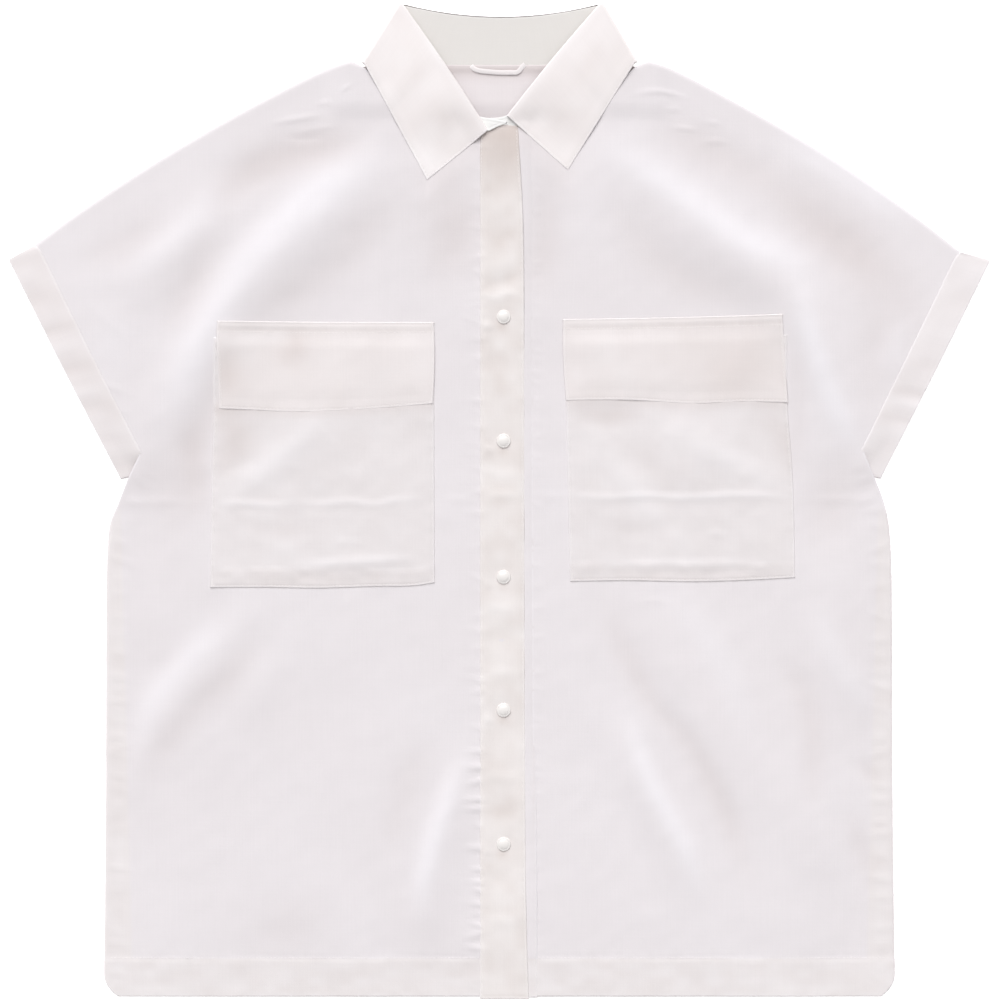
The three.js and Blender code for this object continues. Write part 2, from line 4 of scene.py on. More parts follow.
import bpy
import numpy as np
from bpy.props import FloatProperty, FloatVectorProperty, IntProperty, PointerProperty
from bpy.types import Operator, Panel, PropertyGroup
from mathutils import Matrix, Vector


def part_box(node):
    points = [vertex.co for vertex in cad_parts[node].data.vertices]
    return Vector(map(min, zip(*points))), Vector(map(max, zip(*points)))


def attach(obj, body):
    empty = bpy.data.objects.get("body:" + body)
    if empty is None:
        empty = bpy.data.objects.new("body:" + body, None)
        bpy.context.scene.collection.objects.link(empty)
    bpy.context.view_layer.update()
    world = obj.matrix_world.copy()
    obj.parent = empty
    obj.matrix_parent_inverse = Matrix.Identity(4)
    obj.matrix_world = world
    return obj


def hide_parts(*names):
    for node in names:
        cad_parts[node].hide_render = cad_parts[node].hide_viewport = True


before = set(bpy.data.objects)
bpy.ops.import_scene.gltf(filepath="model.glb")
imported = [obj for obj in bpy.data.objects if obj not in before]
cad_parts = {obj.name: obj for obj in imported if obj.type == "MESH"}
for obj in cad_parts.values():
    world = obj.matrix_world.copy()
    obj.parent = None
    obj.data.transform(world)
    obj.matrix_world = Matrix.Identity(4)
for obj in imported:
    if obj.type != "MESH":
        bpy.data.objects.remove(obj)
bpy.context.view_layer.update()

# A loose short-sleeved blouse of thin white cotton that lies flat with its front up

bl_info = {
    "name": "Flat Cotton Blouse",
    "version": (1, 0, 0),
    "blender": (4, 5, 0),
    "location": "3D View > Sidebar > Blouse",
    "description": "Builds a white cotton blouse that lies flat, piece by piece",
    "category": "Add Mesh",
}

# Lengths in this file are millimetres and turn into metres when a mesh or a setting is made
MM = 0.001

# Heights of the stack of cloth over the surface that the blouse lies on
CLOTH_STEP = 1.3
CLOTH_TOP = 1.0
NECK_RISE = 1.7
PUFF = 2.0
PUFF_REACH = 70.0
FOLD_REACH = 26.0
HEM_PUFF = 0.35
HEM_REACH = 60.0
LEAF_LIFT = 0.7
LEAF_SLOPE = 0.12
SEAM_ROLL = 1.6
SEAM_ROLL_REACH = 3.2

# Levels of the pieces that lie on the fronts, from the fronts' upper face to the piece's middle
POCKET_RAISE = 0.2
FLAP_RAISE = 0.85
PLACKET_RAISE = 0.82

HEM_Y = -357.8
HEM_STITCH_Y = -329.8
PLACKET_TOP_Y = 264.1
PLACKET_BOTTOM_Y = -359.3
PLACKET_SEAM_X = -14.0
UNDER_BAND_X = (-9.0, 25.0, 27.6)

# Extent of the rows of stitches, a little past the cloth at both ends
BODY_HALF = 300
FRONT_ROW_START = -360
FRONT_ROW_LENGTH = 624

# How far the fronts' inner edges lie under the upper band and over the lower one
LEFT_UNDERLAP = 1.6
RIGHT_OVERLAP = 3.5

# Spacings of grid lines from a piece's edge inwards
EDGE_LINES = (0.0, 0.12, 0.35, 0.7, 1.2, 1.8, 2.4, 3.2, 4.4)

# Distance of a row of stitches from the edge that it holds down
STITCH_INSET = 1.8

# Cut of the pieces that shows, in metres, across and along
CUT = {
    "under_placket": ((UNDER_BAND_X[2] - UNDER_BAND_X[0]) * MM, 0.6222),
    "placket": (0.0352, 0.6234),
    "pocket": (0.164, 0.184),
    "flap": (0.162, 0.066),
    "cuff": (0.0195, 0.354),
    "collar_leaf": (0.058, 0.445),
    "collar_stand": (0.050, 0.445),
}

# Outlines
SIDES = ("left", "right")
SHOULDER = {
    "left": [(-97, 311.2), (-101.8, 314.2), (-107, 316.3), (-122, 311.8), (-170.3, 288),
             (-245.9, 244.8), (-311.4, 201.6), (-334.9, 183.9)],
    "right": [(97, 311.2), (101.8, 314.2), (107, 316.3), (122, 311.8), (168.1, 288),
              (241.6, 244.8), (303.5, 201.6), (332.2, 179)],
}
SIDE = {
    "left": [(-259.6, 31.6), (-267.2, 16.2), (-275, -2.9), (-280.4, -16), (-282.8, -38),
             (-284, -230.4), (-285, -338), (-284.6, -346), (-280, -353.5), (-275, HEM_Y)],
    "right": [(262.6, 34.1), (270.2, 16.2), (276, 2), (280, -13), (282.4, -38),
              (283.6, -230.4), (285, -338), (284.6, -346), (280, -353.5), (275, HEM_Y)],
}
NECK = {
    "left": [(-97, 311.2), (-84, 299), (-66, 285.5), (-38, 269), (-16, 264.1)],
    "right": [(97, 311.2), (84, 300), (67, 286.5), (40, 269.5), (18, 264.3)],
}
BUTTONS = tuple(f"button_{index}" for index in range(1, 6))
PLACKET_EDGE = [(13.5, PLACKET_TOP_Y), (17.0, 200), (17.8, 144), (18.0, 0), (18.4, -150),
                (19.4, -300), (21.2, PLACKET_BOTTOM_Y)]

Quad = namedtuple("Quad", "top bottom left right")
POCKET = {
    "left": Quad(
        top=[(-205.3, 117), (-47, 117)],
        bottom=[(-208.4, -63.4), (-170, -63.2), (-133, -63.8), (-90, -62.6), (-61, -62), (-46.4, -59.8)],
        left=[(-205.3, 117), (-206.2, 60), (-207.6, 0), (-208.4, -63.4)],
        right=[(-47, 117), (-46.8, 30), (-46.4, -59.8)],
    ),
    "right": Quad(
        top=[(46.8, 119), (207, 119)],
        bottom=[(50.8, -59), (95, -58.4), (137.2, -59.2), (180, -58), (212.8, -56.2)],
        left=[(46.8, 119), (48.4, 40), (50.8, -59)],
        right=[(207, 119), (207.9, 63.4), (211, 21.6), (212.8, -56.2)],
    ),
}
FLAP = {
    "left": Quad(
        top=[(-202.7, 128.9), (-125, 128.3), (-47.2, 128.2)],
        bottom=[(-202, 65.5), (-180, 64.6), (-157.3, 63.4), (-118, 63.8), (-89.6, 65.5), (-47.9, 69.1)],
        left=[(-202.7, 128.9), (-203.4, 121), (-202.4, 96), (-202, 65.5)],
        right=[(-47.2, 128.2), (-46.6, 100), (-47.9, 69.1)],
    ),
    "right": Quad(
        top=[(45.7, 130.3), (125, 131.6), (203.4, 133.9)],
        bottom=[(47.9, 71.3), (94, 71.6), (137.2, 69.1), (180, 70.4), (207.7, 69.8)],
        left=[(45.7, 130.3), (45.9, 100), (47.9, 71.3)],
        right=[(203.4, 133.9), (204.4, 118), (206.2, 92), (207.7, 69.8)],
    ),
}
CuffEdge = namedtuple("CuffEdge", "share x y")
CUFF_SEAM = {
    "left": [CuffEdge(0, -335.0, 183.9), CuffEdge(0.46, -297.4, 107.6), CuffEdge(0.92, -258.3, 31.2),
             CuffEdge(1, -265.3, 16.7)],
    "right": [CuffEdge(0, 332.4, 179.0), CuffEdge(0.46, 297.0, 106.4), CuffEdge(0.92, 261.3, 33.7),
              CuffEdge(1, 268.3, 16.7)],
}
CUFF_OPEN = {
    "left": [CuffEdge(0, -354.0, 173.6), CuffEdge(0.5, -314.2, 94.6), CuffEdge(1, -272.9, 14.9)],
    "right": [CuffEdge(0, 354.0, 173.2), CuffEdge(0.5, 315.0, 94.8), CuffEdge(1, 274.6, 15.2)],
}
CUFF_TURN = {"ends": 0.75, "middle": 1.6}
CUFF_WIDTH = 19.5
CUFF_LENGTH_STEPS = 76
CUFF_TURN_STEPS = 9

# The collar: a leaf that folds down over a stand, and turns over at the sides of the neck
COLLAR_AXIS = 3.3
LEAF_TURN = 2.6
STAND_TURN = 1.1
LEAF_HALF = 0.7
Leaf = namedtuple("Leaf", "corner point fold edge seam_end")
LEAF = {
    "left": Leaf((-8.3, 266), (-52.2, 230.4), (-72.5, 358.8), (-100, 315.5), (-95.6, 312.6)),
    "right": Leaf((5.4, 276.5), (49.3, 237.6), (75, 358.8), (100, 316), (95.6, 312.6)),
}
LEAF_RISE = {"corner": 3.0, "point": 0.35, "fold": 2.2, "roll": 1.5}
BACK_FOLD = (348.3, 9.2)
BACK_EDGE = (303.5, 10.2)
FOLD_BOW = 2.2
LEAF_FRONT_HEIGHT = 2.2
LEAF_OVER_CLOTH = 0.25
LEAF_REST_SHARE = 0.45
LEAF_STEPS = {"front": 58, "crease": 14, "back": 70}
LEAF_BEND = 1.15

StandRow = namedtuple("StandRow", "share x y sink")
STAND_SEAM = {
    "left": [StandRow(0.15, -16, 264.6, 1.4), StandRow(0.4, -38, 269.5, 0.2), StandRow(0.7, -66, 286, 0)],
    "right": [StandRow(0.15, 18, 264.8, 1.4), StandRow(0.4, 40, 270, 0.2), StandRow(0.7, 67, 287, 0)],
}
StandEnd = namedtuple("StandEnd", "top seam top_rise seam_rise")
STAND_END = {
    "left": [StandEnd((6.0, 272.4), (5.2, 271.0), 2.2, 2.0), StandEnd((0, 273.6), (-1.5, 268.6), 2.3, 2.0),
             StandEnd((-6, 274.6), (-8, 265.6), 2.3, 1.9)],
    "right": [StandEnd((-7, 275.2), (-8, 267), 0.6, 0), StandEnd((4, 276.6), (4, 266), 0.7, 0)],
}
LOOP_WIDTH = 3.4
LOOP_PATH = [(-20.5, 312.9), (-18.4, 310.6), (-15.5, 309.4), (-8, 308.5), (-1.8, 308), (8, 307.9),
             (12.6, 308.1), (14.6, 309.6), (16.2, 311.6), (18.4, 314)]

# Section of a button from its axis out and back: shares of its radius and of its height
BUTTON_PROFILE = [
    (0.0, 0.0), (0.55, 0.0), (0.86, 0.03), (0.95, 0.12), (0.99, 0.24), (1.0, 0.36), (0.985, 0.48),
    (0.95, 0.57), (0.90, 0.63), (0.86, 0.645), (0.82, 0.63), (0.79, 0.625), (0.75, 0.66), (0.68, 0.73),
    (0.58, 0.82), (0.45, 0.90), (0.30, 0.96), (0.15, 0.99), (0.0, 1.0),
]
BUTTON_TURNS = 56

# The stage: floor in millimetres, camera and suns in metres
FLOOR_HALF = 15000.0
FLOOR_LEVEL = -0.2
CAMERA_SHIFT = 0.00036
CAMERA_OVER_FLOOR = 0.004
SENSOR_WIDTH = 36.0
LIGHT_PLACE = {"key": (-0.22, 1.0, 0.85), "fill": (0.5, -1.0, 1.2)}
FILL_SPREAD = 1.6

# Folds: height, reach to the left and to the right of the line as one walks along it, and the line
Fold = namedtuple("Fold", "height left right line")
BODY_FOLDS = [
    Fold(4.1, 28, 20, [(-66, 248), (-92, 230), (-124, 206), (-164, 170), (-196, 136), (-222, 98), (-240, 66),
                       (-254, 36)]),
    Fold(1.8, 16, 16, [(-198, 224), (-213, 196), (-240, 169), (-264, 147)]),
    Fold(2.2, 20, 15, [(-174, -70), (-196, -104), (-216, -128), (-240, -156), (-257, -192), (-264, -214)]),
    Fold(0.9, 14, 12, [(-140, -90), (-168, -130), (-198, -176)]),
    Fold(2.2, 16, 12, [(-18, -164), (-31, -212), (-42, -252), (-49, -290), (-53, -326)]),
    Fold(2.4, 34, 34, [(-150, 52), (-112, 40)]),
    Fold(4.0, 20, 24, [(68, 250), (104, 224), (138, 198), (172, 173), (204, 153), (223, 126), (232, 98),
                       (244, 68), (260, 36)]),
    Fold(2.2, 15, 13, [(82, -142), (102, -206), (124, -252), (138, -298)]),
    Fold(2.4, 24, 17, [(90, -54), (116, -98), (140, -144), (160, -188), (182, -246)]),
    Fold(2.6, 22, 22, [(236, -20), (262, -170)]),
    Fold(2.2, 30, 30, [(112, 44), (170, 30)]),
    Fold(2.0, 20, 20, [(200, -150), (236, -290)]),
]
# Smaller folds: they lift the fronts, and the same lines paint highlight on the ridges and shade in the
# troughs
BODY_DETAIL = [
    Fold(0.9, 17, 13, [(-72, 256), (-106, 238), (-144, 210), (-182, 170), (-205, 132), (-228, 86),
                       (-252, 43)]),
    Fold(0.4, 24, 20, [(-86, 250), (-124, 224), (-154, 202)]),
    Fold(-1.2, 14, 15, [(-88, 262), (-128, 253), (-160, 244), (-190, 228), (-206, 204)]),
    Fold(-0.5, 12, 10, [(-205, 191), (-223, 151), (-244, 115)]),
    Fold(-1.0, 20, 18, [(-31, 230), (-34, 187), (-47, 150)]),
    Fold(-0.5, 15, 15, [(-72, 226), (-96, 194), (-120, 168), (-152, 146), (-190, 124)]),
    Fold(-0.7, 12, 12, [(-197, 119), (-205, 72), (-229, 24)]),
    Fold(-0.6, 20, 20, [(-258, 30), (-234, 0), (-224, -30)]),
    Fold(-0.9, 11, 12, [(-224, 56), (-219, 24), (-216, -10)]),
    Fold(0.5, 10, 10, [(-202, 228), (-219, 201), (-246, 177), (-270, 156)]),
    Fold(-0.5, 10, 12, [(-308, 171), (-279, 180), (-241, 207)]),
    Fold(0.45, 18, 18, [(-285, 131), (-272, 92)]),
    Fold(0.9, 14, 12, [(70, 256), (114, 231), (147, 207), (180, 184), (212, 170), (226, 142)]),
    Fold(0.7, 12, 10, [(196, 264), (241, 238), (300, 198)]),
    Fold(-0.8, 13, 12, [(30, 238), (33, 187), (25, 144)]),
    Fold(-0.5, 15, 15, [(78, 222), (98, 188), (131, 160), (184, 142)]),
    Fold(-0.75, 15, 15, [(112, 272), (166, 244), (222, 208)]),
    Fold(-0.6, 24, 24, [(246, 182), (284, 154), (300, 112)]),
    Fold(-1.2, 18, 18, [(204, 222), (224, 200), (250, 182), (270, 154)]),
    Fold(1.0, 9, 10, [(214, 158), (224, 118), (238, 76), (259, 32)]),
    Fold(-0.45, 8, 8, [(211, 122), (215, 58), (209, 13)]),
    Fold(-0.4, 13, 13, [(277, 151), (268, 92), (275, 50)]),
    Fold(-0.65, 18, 18, [(258, 34), (240, 0), (234, -36)]),
    Fold(0.4, 9, 9, [(294, 131), (278, 92)]),
    Fold(0.6, 10, 9, [(-196, -84), (-227, -119), (-248, -143), (-260, -184)]),
    Fold(-0.6, 12, 11, [(-170, -91), (-194, -125), (-224, -155), (-256, -202)]),
    Fold(0.8, 8, 8, [(-26, -184), (-39, -222), (-52, -261), (-57, -304)]),
    Fold(-0.4, 12, 12, [(-52, -170), (-68, -212), (-80, -262)]),
    Fold(-0.7, 9, 9, [(72, -66), (93, -116), (110, -146), (134, -172), (163, -225), (182, -290)]),
    Fold(0.8, 8, 8, [(90, -150), (111, -207), (133, -249), (146, -290)]),
    Fold(0.4, 12, 12, [(118, -71), (141, -89), (166, -131), (181, -185)]),
    Fold(-0.6, 10, 10, [(202, -110), (221, -146), (226, -194), (222, -228)]),
    Fold(0.45, 10, 10, [(226, -70), (244, -119), (274, -157)]),
    Fold(-0.6, 9, 9, [(254, -226), (270, -282)]),
    Fold(-0.6, 6, 6, [(260, -188), (272, -206)]),
    Fold(-0.35, 18, 18, [(-122, -292), (-180, -324)]),
]
FINE_CREASES = [
    Fold(0.6, 1.9, 1.5, [(-133.6, 285.3), (-126, 285.8), (-119.2, 285.1)]),
    Fold(0.8, 2.1, 1.6, [(-167.4, 270.7), (-146.5, 274.3), (-124.2, 277.9)]),
    Fold(0.6, 1.9, 1.5, [(-114.1, 293.8), (-110, 297), (-106.2, 299.5)]),
    Fold(0.5, 2.1, 1.6, [(-150, 264), (-130, 267.6), (-116, 269)]),
    Fold(-0.5, 2.6, 2.0, [(-160, 262), (-138, 260), (-122, 262)]),
    Fold(0.8, 1.6, 2.1, [(93.2, 290.9), (112.7, 294.5), (137.9, 288.7)]),
    Fold(0.55, 1.6, 1.6, [(118.4, 280.8), (131.4, 282.2)]),
    Fold(0.65, 1.6, 1.9, [(122, 267.8), (132, 268), (143.6, 266.4)]),
    Fold(0.55, 1.6, 1.8, [(147.2, 272.2), (160.2, 271.4)]),
    Fold(0.6, 1.6, 2.1, [(143.6, 257), (156, 258.6), (166.7, 257.8)]),
    Fold(0.5, 2.4, 3.6, [(-282, -3), (-250, -1), (-212, -2)]),
    Fold(0.45, 2.4, 3.6, [(-44, 0), (-30, 1), (-16, 0)]),
    Fold(0.45, 2.4, 3.6, [(28, 2), (40, 3), (48, 2)]),
    Fold(0.55, 2.4, 3.6, [(214, 0), (246, 1), (280, -1)]),
    Fold(0.4, 2.4, 2.8, [(96, -76), (112, -72), (126, -76)]),
    Fold(0.35, 5.0, 4.0, [(-296, 144), (-280, 126), (-268, 118)]),
    Fold(0.5, 3.0, 2.4, [(-288, 84), (-276, 80), (-268, 76)]),
    Fold(0.45, 2.4, 2.0, [(-276, 66), (-266, 62)]),
    Fold(1.5, 8.0, 8.0, [(-255, 36), (-266, 13)]),
    Fold(1.5, 8.0, 8.0, [(258, 38), (269, 13)]),
    Fold(0.6, 4.0, 3.0, [(288, 74), (298, 66), (304, 64)]),
    Fold(0.5, 4.0, 3.0, [(282, 60), (290, 52), (296, 50)]),
]
# Folds of the pockets: they shape the cloth and also paint shade and highlight on it
POCKET_FOLDS = {
    "left": [
        Fold(0.6, 2.0, 3.4, [(-208, -3), (-190, -2), (-160, -3.5), (-146, -2)]),
        Fold(0.6, 2.0, 3.6, [(-156, 0), (-130, -2.5), (-104, -1), (-92, -3), (-76, 0), (-47, 2)]),
        Fold(0.35, 3.0, 2.6, [(-121, -32), (-108, -30), (-97, -32)]),
        Fold(-1.8, 12, 11, [(-206, 62), (-190, 48), (-203, 20)]),
        Fold(1.0, 11, 10, [(-116, 66), (-140, 46), (-172, 20), (-202, 3)]),
        Fold(-0.4, 9, 9, [(-73, 62), (-51, 46)]),
        Fold(0.7, 3.5, 3.5, [(-154, -48), (-108, -45), (-54, -42)]),
        Fold(-0.5, 5, 5, [(-197, -58), (-122, -57), (-54, -55)]),
        Fold(-0.5, 6, 6, [(-190, -18), (-160, -22), (-130, -20)]),
        Fold(0.35, 6, 6, [(-170, -36), (-140, -34)]),
    ],
    "right": [
        Fold(0.7, 2.0, 3.6, [(30, 6), (80, 2), (104, 3.5), (130, 2), (170, 4), (230, 1)]),
        Fold(0.35, 3.0, 2.6, [(148, -26), (157, -24), (166, -26)]),
        Fold(-1.6, 6, 8, [(50, 63), (104, 60)]),
        Fold(0.8, 10, 11, [(104, 66), (146, 38), (208, 8)]),
        Fold(-1.3, 11, 11, [(182, 62), (202, 50), (211, 16)]),
        Fold(0.55, 9, 9, [(62, 54), (84, 22), (110, -8), (144, -44)]),
        Fold(-0.5, 8, 8, [(92, 46), (112, 20), (128, 6)]),
        Fold(0.5, 3.5, 3.5, [(72, -48), (144, -46), (203, -48)]),
        Fold(-0.5, 5, 5, [(64, -55), (137, -55), (205, -53)]),
        Fold(-0.4, 7, 7, [(70, -16), (110, -22), (140, -14)]),
    ],
}
# Folds of the flaps: they shape the cloth and also paint shade and highlight on it
FLAP_FOLDS = {
    "left": [
        Fold(-1.2, 10, 9, [(-197, 104), (-194, 74)]),
        Fold(-1.1, 10, 10, [(-146, 122), (-153, 96)]),
        Fold(0.5, 13, 13, [(-64, 112), (-54, 83)]),
        Fold(0.4, 5, 5, [(-190, 117), (-150, 117)]),
        Fold(-0.4, 7, 6, [(-150, 124), (-140, 104)]),
    ],
    "right": [
        Fold(0.5, 18, 18, [(71, 108), (101, 83)]),
        Fold(-1.3, 26, 30, [(144, 124), (168, 100), (204, 82)]),
        Fold(0.3, 5, 5, [(54, 96), (58, 78)]),
        Fold(-0.3, 6, 6, [(130, 126), (136, 108)]),
    ],
}
# Soft cross creases of the cuffs, which also paint shade and highlight: share of the cuff's length, half
# width, and height in tenths
CUFF_CREASES = {
    "left": [(0.04, 0.03, -4), (0.2, 0.05, -9), (0.34, 0.025, -9), (0.42, 0.03, 7), (0.515, 0.03, -9),
             (0.62, 0.025, 7), (0.69, 0.03, -7), (0.8, 0.03, 4), (0.95, 0.04, -7)],
    "right": [(0.05, 0.03, 4), (0.2, 0.05, -4), (0.36, 0.04, 4), (0.5, 0.03, -4), (0.63, 0.022, -9),
              (0.68, 0.02, 8), (0.75, 0.022, -8), (0.82, 0.03, 5), (0.94, 0.04, -5)],
}
# Painted light and shade on the upper layer of the collar leaf: darker bands and paler places, palest towards
# the points
LEAF_PAINTED_LIGHT_AND_SHADE = [
    Fold(-0.25, 7, 7, [(-54, 289), (-37, 272), (-21, 264)]),
    Fold(1.1, 14, 14, [(-62, 236), (-42, 252)]),
    Fold(0.35, 7, 7, [(-69, 346), (-43, 306)]),
    Fold(-0.45, 7, 7, [(74, 328), (54, 297)]),
    Fold(-0.45, 6, 6, [(58, 282), (35, 269)]),
    Fold(0.45, 9, 9, [(52, 246), (38, 255)]),
]
# Folds of the upper band: they shape it and also paint shade and highlight on it
PLACKET_FOLDS = [
    Fold(0.8, 2.4, 3.6, [(-13, 148), (-2, 146), (6, 149), (17, 147)]),
    Fold(-0.8, 4.0, 4.0, [(-13, 154), (0, 156), (17, 163)]),
    Fold(0.5, 5.0, 5.0, [(-12, 166), (4, 170), (16, 176)]),
    Fold(-0.5, 5.0, 5.0, [(-12, 182), (4, 188), (14, 196)]),
    Fold(0.5, 6.0, 6.0, [(-12, 206), (4, 214), (14, 222)]),
    Fold(0.6, 2.4, 3.4, [(-12, 3), (2, 4), (17, 3)]),
    Fold(0.45, 2.4, 3.0, [(-13, 36), (-8, 36.4), (-3, 36)]),
    Fold(0.5, 4.0, 4.0, [(-12, 22), (4, 18), (16, 20)]),
    Fold(0.5, 2.0, 2.4, [(-13, 124), (-8, 125), (-4, 125)]),
    Fold(0.5, 4.0, 4.0, [(-12, -74), (4, -78), (16, -76)]),
    Fold(0.6, 4.0, 5.0, [(-12, -128), (4, -124), (16, -126)]),
    Fold(0.5, 2.0, 2.4, [(-13, -160), (-8, -159), (-3, -160)]),
    Fold(0.6, 4.0, 4.0, [(-12, -196), (4, -200), (16, -198)]),
    Fold(0.5, 4.0, 5.0, [(-12, -300), (4, -303), (16, -300)]),
    Fold(-0.5, 8.0, 8.0, [(-12, 100), (16, 98)]),
    Fold(-0.5, 8.0, 8.0, [(-12, -100), (16, -102)]),
    Fold(-0.6, 8.0, 8.0, [(-12, -225), (16, -222)]),
    Fold(-0.5, 7.0, 7.0, [(-12, -272), (16, -276)]),
]


def smooth(low, high, value):
    """0 below low, 1 above high, and a soft step between them."""
    share = np.clip((value - low) / (high - low), 0.0, 1.0)
    return share * share * (3.0 - 2.0 * share)


def mix(first, second, share):
    return first + (second - first) * share


def arch(share):
    return np.sin(np.pi * np.clip(share, 0.0, 1.0))


def bell(value, middle, width):
    """1 at the middle, falling softly to 0 a few widths away."""
    return np.exp(-((value - middle) / width) ** 2)


def curve_through(points, steps=6):
    """Smooth line through the points, with so many steps between two of them."""
    known = np.asarray(points, float)
    if len(known) < 3:
        return known
    lengths = np.linalg.norm(np.diff(known, axis=0), axis=1)[:, None]
    ways = np.diff(known, axis=0) / lengths
    inner = (ways[:-1] * lengths[1:] + ways[1:] * lengths[:-1]) / (lengths[:-1] + lengths[1:])
    slopes = np.vstack([1.5 * ways[:1] - 0.5 * inner[:1], inner, 1.5 * ways[-1:] - 0.5 * inner[-1:]])
    shorter = np.vstack([lengths[:1], np.minimum(lengths[:-1], lengths[1:]), lengths[-1:]])
    line = []
    for k, length in enumerate(lengths):
        start, end = known[k], known[k + 1]
        leaving = slopes[k] * np.minimum(length, 1.5 * shorter[k])
        arriving = slopes[k + 1] * np.minimum(length, 1.5 * shorter[k + 1])
        for t in np.arange(steps) / steps:
            line.append(start * (1 - t) ** 2 * (1 + 2 * t) + end * t * t * (3 - 2 * t)
                        + leaving * t * (1 - t) ** 2 - arriving * t * t * (1 - t))
    line.append(known[-1])
    return np.array(line)


def walk(points, shares):
    """Points at shares of a line's length."""
    line = np.asarray(points, float)
    steps = np.linalg.norm(np.diff(line, axis=0), axis=1)
    reached = np.concatenate([[0.0], np.cumsum(steps)]) / steps.sum()
    return np.stack([np.interp(shares, reached, line[:, k]) for k in range(line.shape[1])], axis=1)


def line_length(points):
    return float(np.linalg.norm(np.diff(np.asarray(points, float), axis=0), axis=1).sum())


def along_line(x, y, points):
    """Distance of each place from a line, its side (1 on the left), and how far along it lies.

    Places beyond an end of the line lie at less than nothing along it, or at more than its length."""
    line = np.asarray(points, float)
    nearest = np.full(np.shape(x), np.inf)
    side = np.ones(np.shape(x))
    reached = np.zeros(np.shape(x))
    before = 0.0
    ways = np.diff(line, axis=0)
    for k, (start, way) in enumerate(zip(line[:-1], ways)):
        length = np.hypot(*way)
        free = ((x - start[0]) * way[0] + (y - start[1]) * way[1]) / length ** 2
        share = np.clip(free, 0.0, 1.0)
        free = np.clip(free, -np.inf if k == 0 else 0.0, np.inf if k == len(ways) - 1 else 1.0)
        off_x = x - start[0] - share * way[0]
        off_y = y - start[1] - share * way[1]
        distance = np.hypot(off_x, off_y)
        closer = distance < nearest
        nearest = np.where(closer, distance, nearest)
        side = np.where(closer, np.where(way[0] * off_y - way[1] * off_x >= 0, 1.0, -1.0), side)
        reached = np.where(closer, before + free * length, reached)
        before += length
    return nearest, side, reached


def folds_at(x, y, folds, taper=0.2):
    """Height of soft ridges and troughs along their lines."""
    height = np.zeros(np.shape(x))
    for fold in folds:
        line = curve_through(fold.line)
        reach = 3.0 * max(fold.left, fold.right)
        low = line.min(0) - reach
        high = line.max(0) + reach
        near = (x > low[0]) & (x < high[0]) & (y > low[1]) & (y < high[1])
        if not near.any():
            continue
        distance, side, reached = along_line(x[near], y[near], line)
        away = distance / np.where(side > 0, fold.left, fold.right)
        length = line_length(line)
        blend = reach / 3.0
        ends = smooth(-blend, taper * length + blend, reached) \
            * smooth(-blend, taper * length + blend, length - reached)
        height[near] += fold.height * bell(away, 0, 1) * ends
    return height


def soft_noise(x, y, cell, seed):
    """Smooth uneven heights from -1 to 1, with bumps about a cell wide."""
    size = 61
    values = np.random.default_rng(seed).uniform(-1, 1, (size, size))
    column = np.floor(x / cell)
    row = np.floor(y / cell)
    across = smooth(0, 1, x / cell - column)
    up = smooth(0, 1, y / cell - row)
    i = column.astype(int)
    j = row.astype(int)
    low = mix(values[j % size, i % size], values[j % size, (i + 1) % size], across)
    high = mix(values[(j + 1) % size, i % size], values[(j + 1) % size, (i + 1) % size], across)
    return mix(low, high, up)


def puckers(along, off, length, seed, spacing=9.0, height=0.35, reach=5.0, width=1.3):
    """Small cross wrinkles that a row of stitches draws into the cloth."""
    chance = np.random.default_rng(seed)
    total = np.zeros(np.shape(along))
    near = np.abs(off) < 3.0 * reach
    here = along[near]
    away = off[near]
    gathered = np.zeros(here.shape)
    place = chance.uniform(0, spacing)
    while place < length:
        lean = chance.uniform(-0.35, 0.35)
        rise = height * chance.uniform(0.3, 1.0)
        extent = reach * chance.uniform(0.5, 1.1)
        across = (here - place - lean * away) / (width * chance.uniform(0.8, 1.6))
        gathered += rise * np.exp(-across * across - (away / extent) ** 2)
        place += spacing * chance.uniform(0.45, 1.6)
    total[near] = gathered
    return total


def puckers_across(x, off, seed, **sizes):
    """Wrinkles along a row of stitches that runs across the body."""
    return puckers(x + BODY_HALF, off, 2 * BODY_HALF, seed, **sizes)


def puckers_down(y, off, seed, **sizes):
    """Wrinkles along a row of stitches that runs down the front, from its lower end up."""
    return puckers(y - FRONT_ROW_START, off, FRONT_ROW_LENGTH, seed, **sizes)


def side_line(name):
    """Side of the body from the underarm to the hem, with the rounded corner."""
    return curve_through(SIDE[name], 5)


def shoulder_line(name):
    """Shoulder from the neck to the cuff."""
    apex = SHOULDER[name][:3]
    return np.vstack([curve_through(apex, 3)[:-1], curve_through(SHOULDER[name][2:], 6)])


def distance_inside(x, y):
    """Distance from the nearest sewn edge, at the shoulders and the sides."""
    distance = np.full(np.shape(x), np.inf)
    for name in SIDES:
        side = np.array(SIDE[name][3:7] + [(SIDE[name][6][0], HEM_Y)], float)
        for line in (shoulder_line(name)[2:], side):
            distance = np.minimum(distance, along_line(x, y, line)[0])
    return distance


def distance_from_leaf(x, y, name):
    """Distance outside a collar leaf, as seen from above, and 0 under it."""
    leaf = LEAF[name]
    corners = np.array([leaf.corner, leaf.point, leaf.edge, leaf.fold], float)
    centre = corners.mean(0)
    outside = np.zeros(np.shape(x))
    for start, end in zip(corners, np.roll(corners, -1, 0)):
        way = (end - start) / np.linalg.norm(end - start)
        away = np.array([way[1], -way[0]])
        if away @ (centre - start) > 0:
            away = -away
        outside = np.maximum(outside, (x - start[0]) * away[0] + (y - start[1]) * away[1])
    return outside


def neck_rise(x, y):
    """Rise of the back over the part of the leaf that lies under it."""
    return NECK_RISE * smooth(272, 288, y) * (1.0 - smooth(112, 128, np.abs(x)))


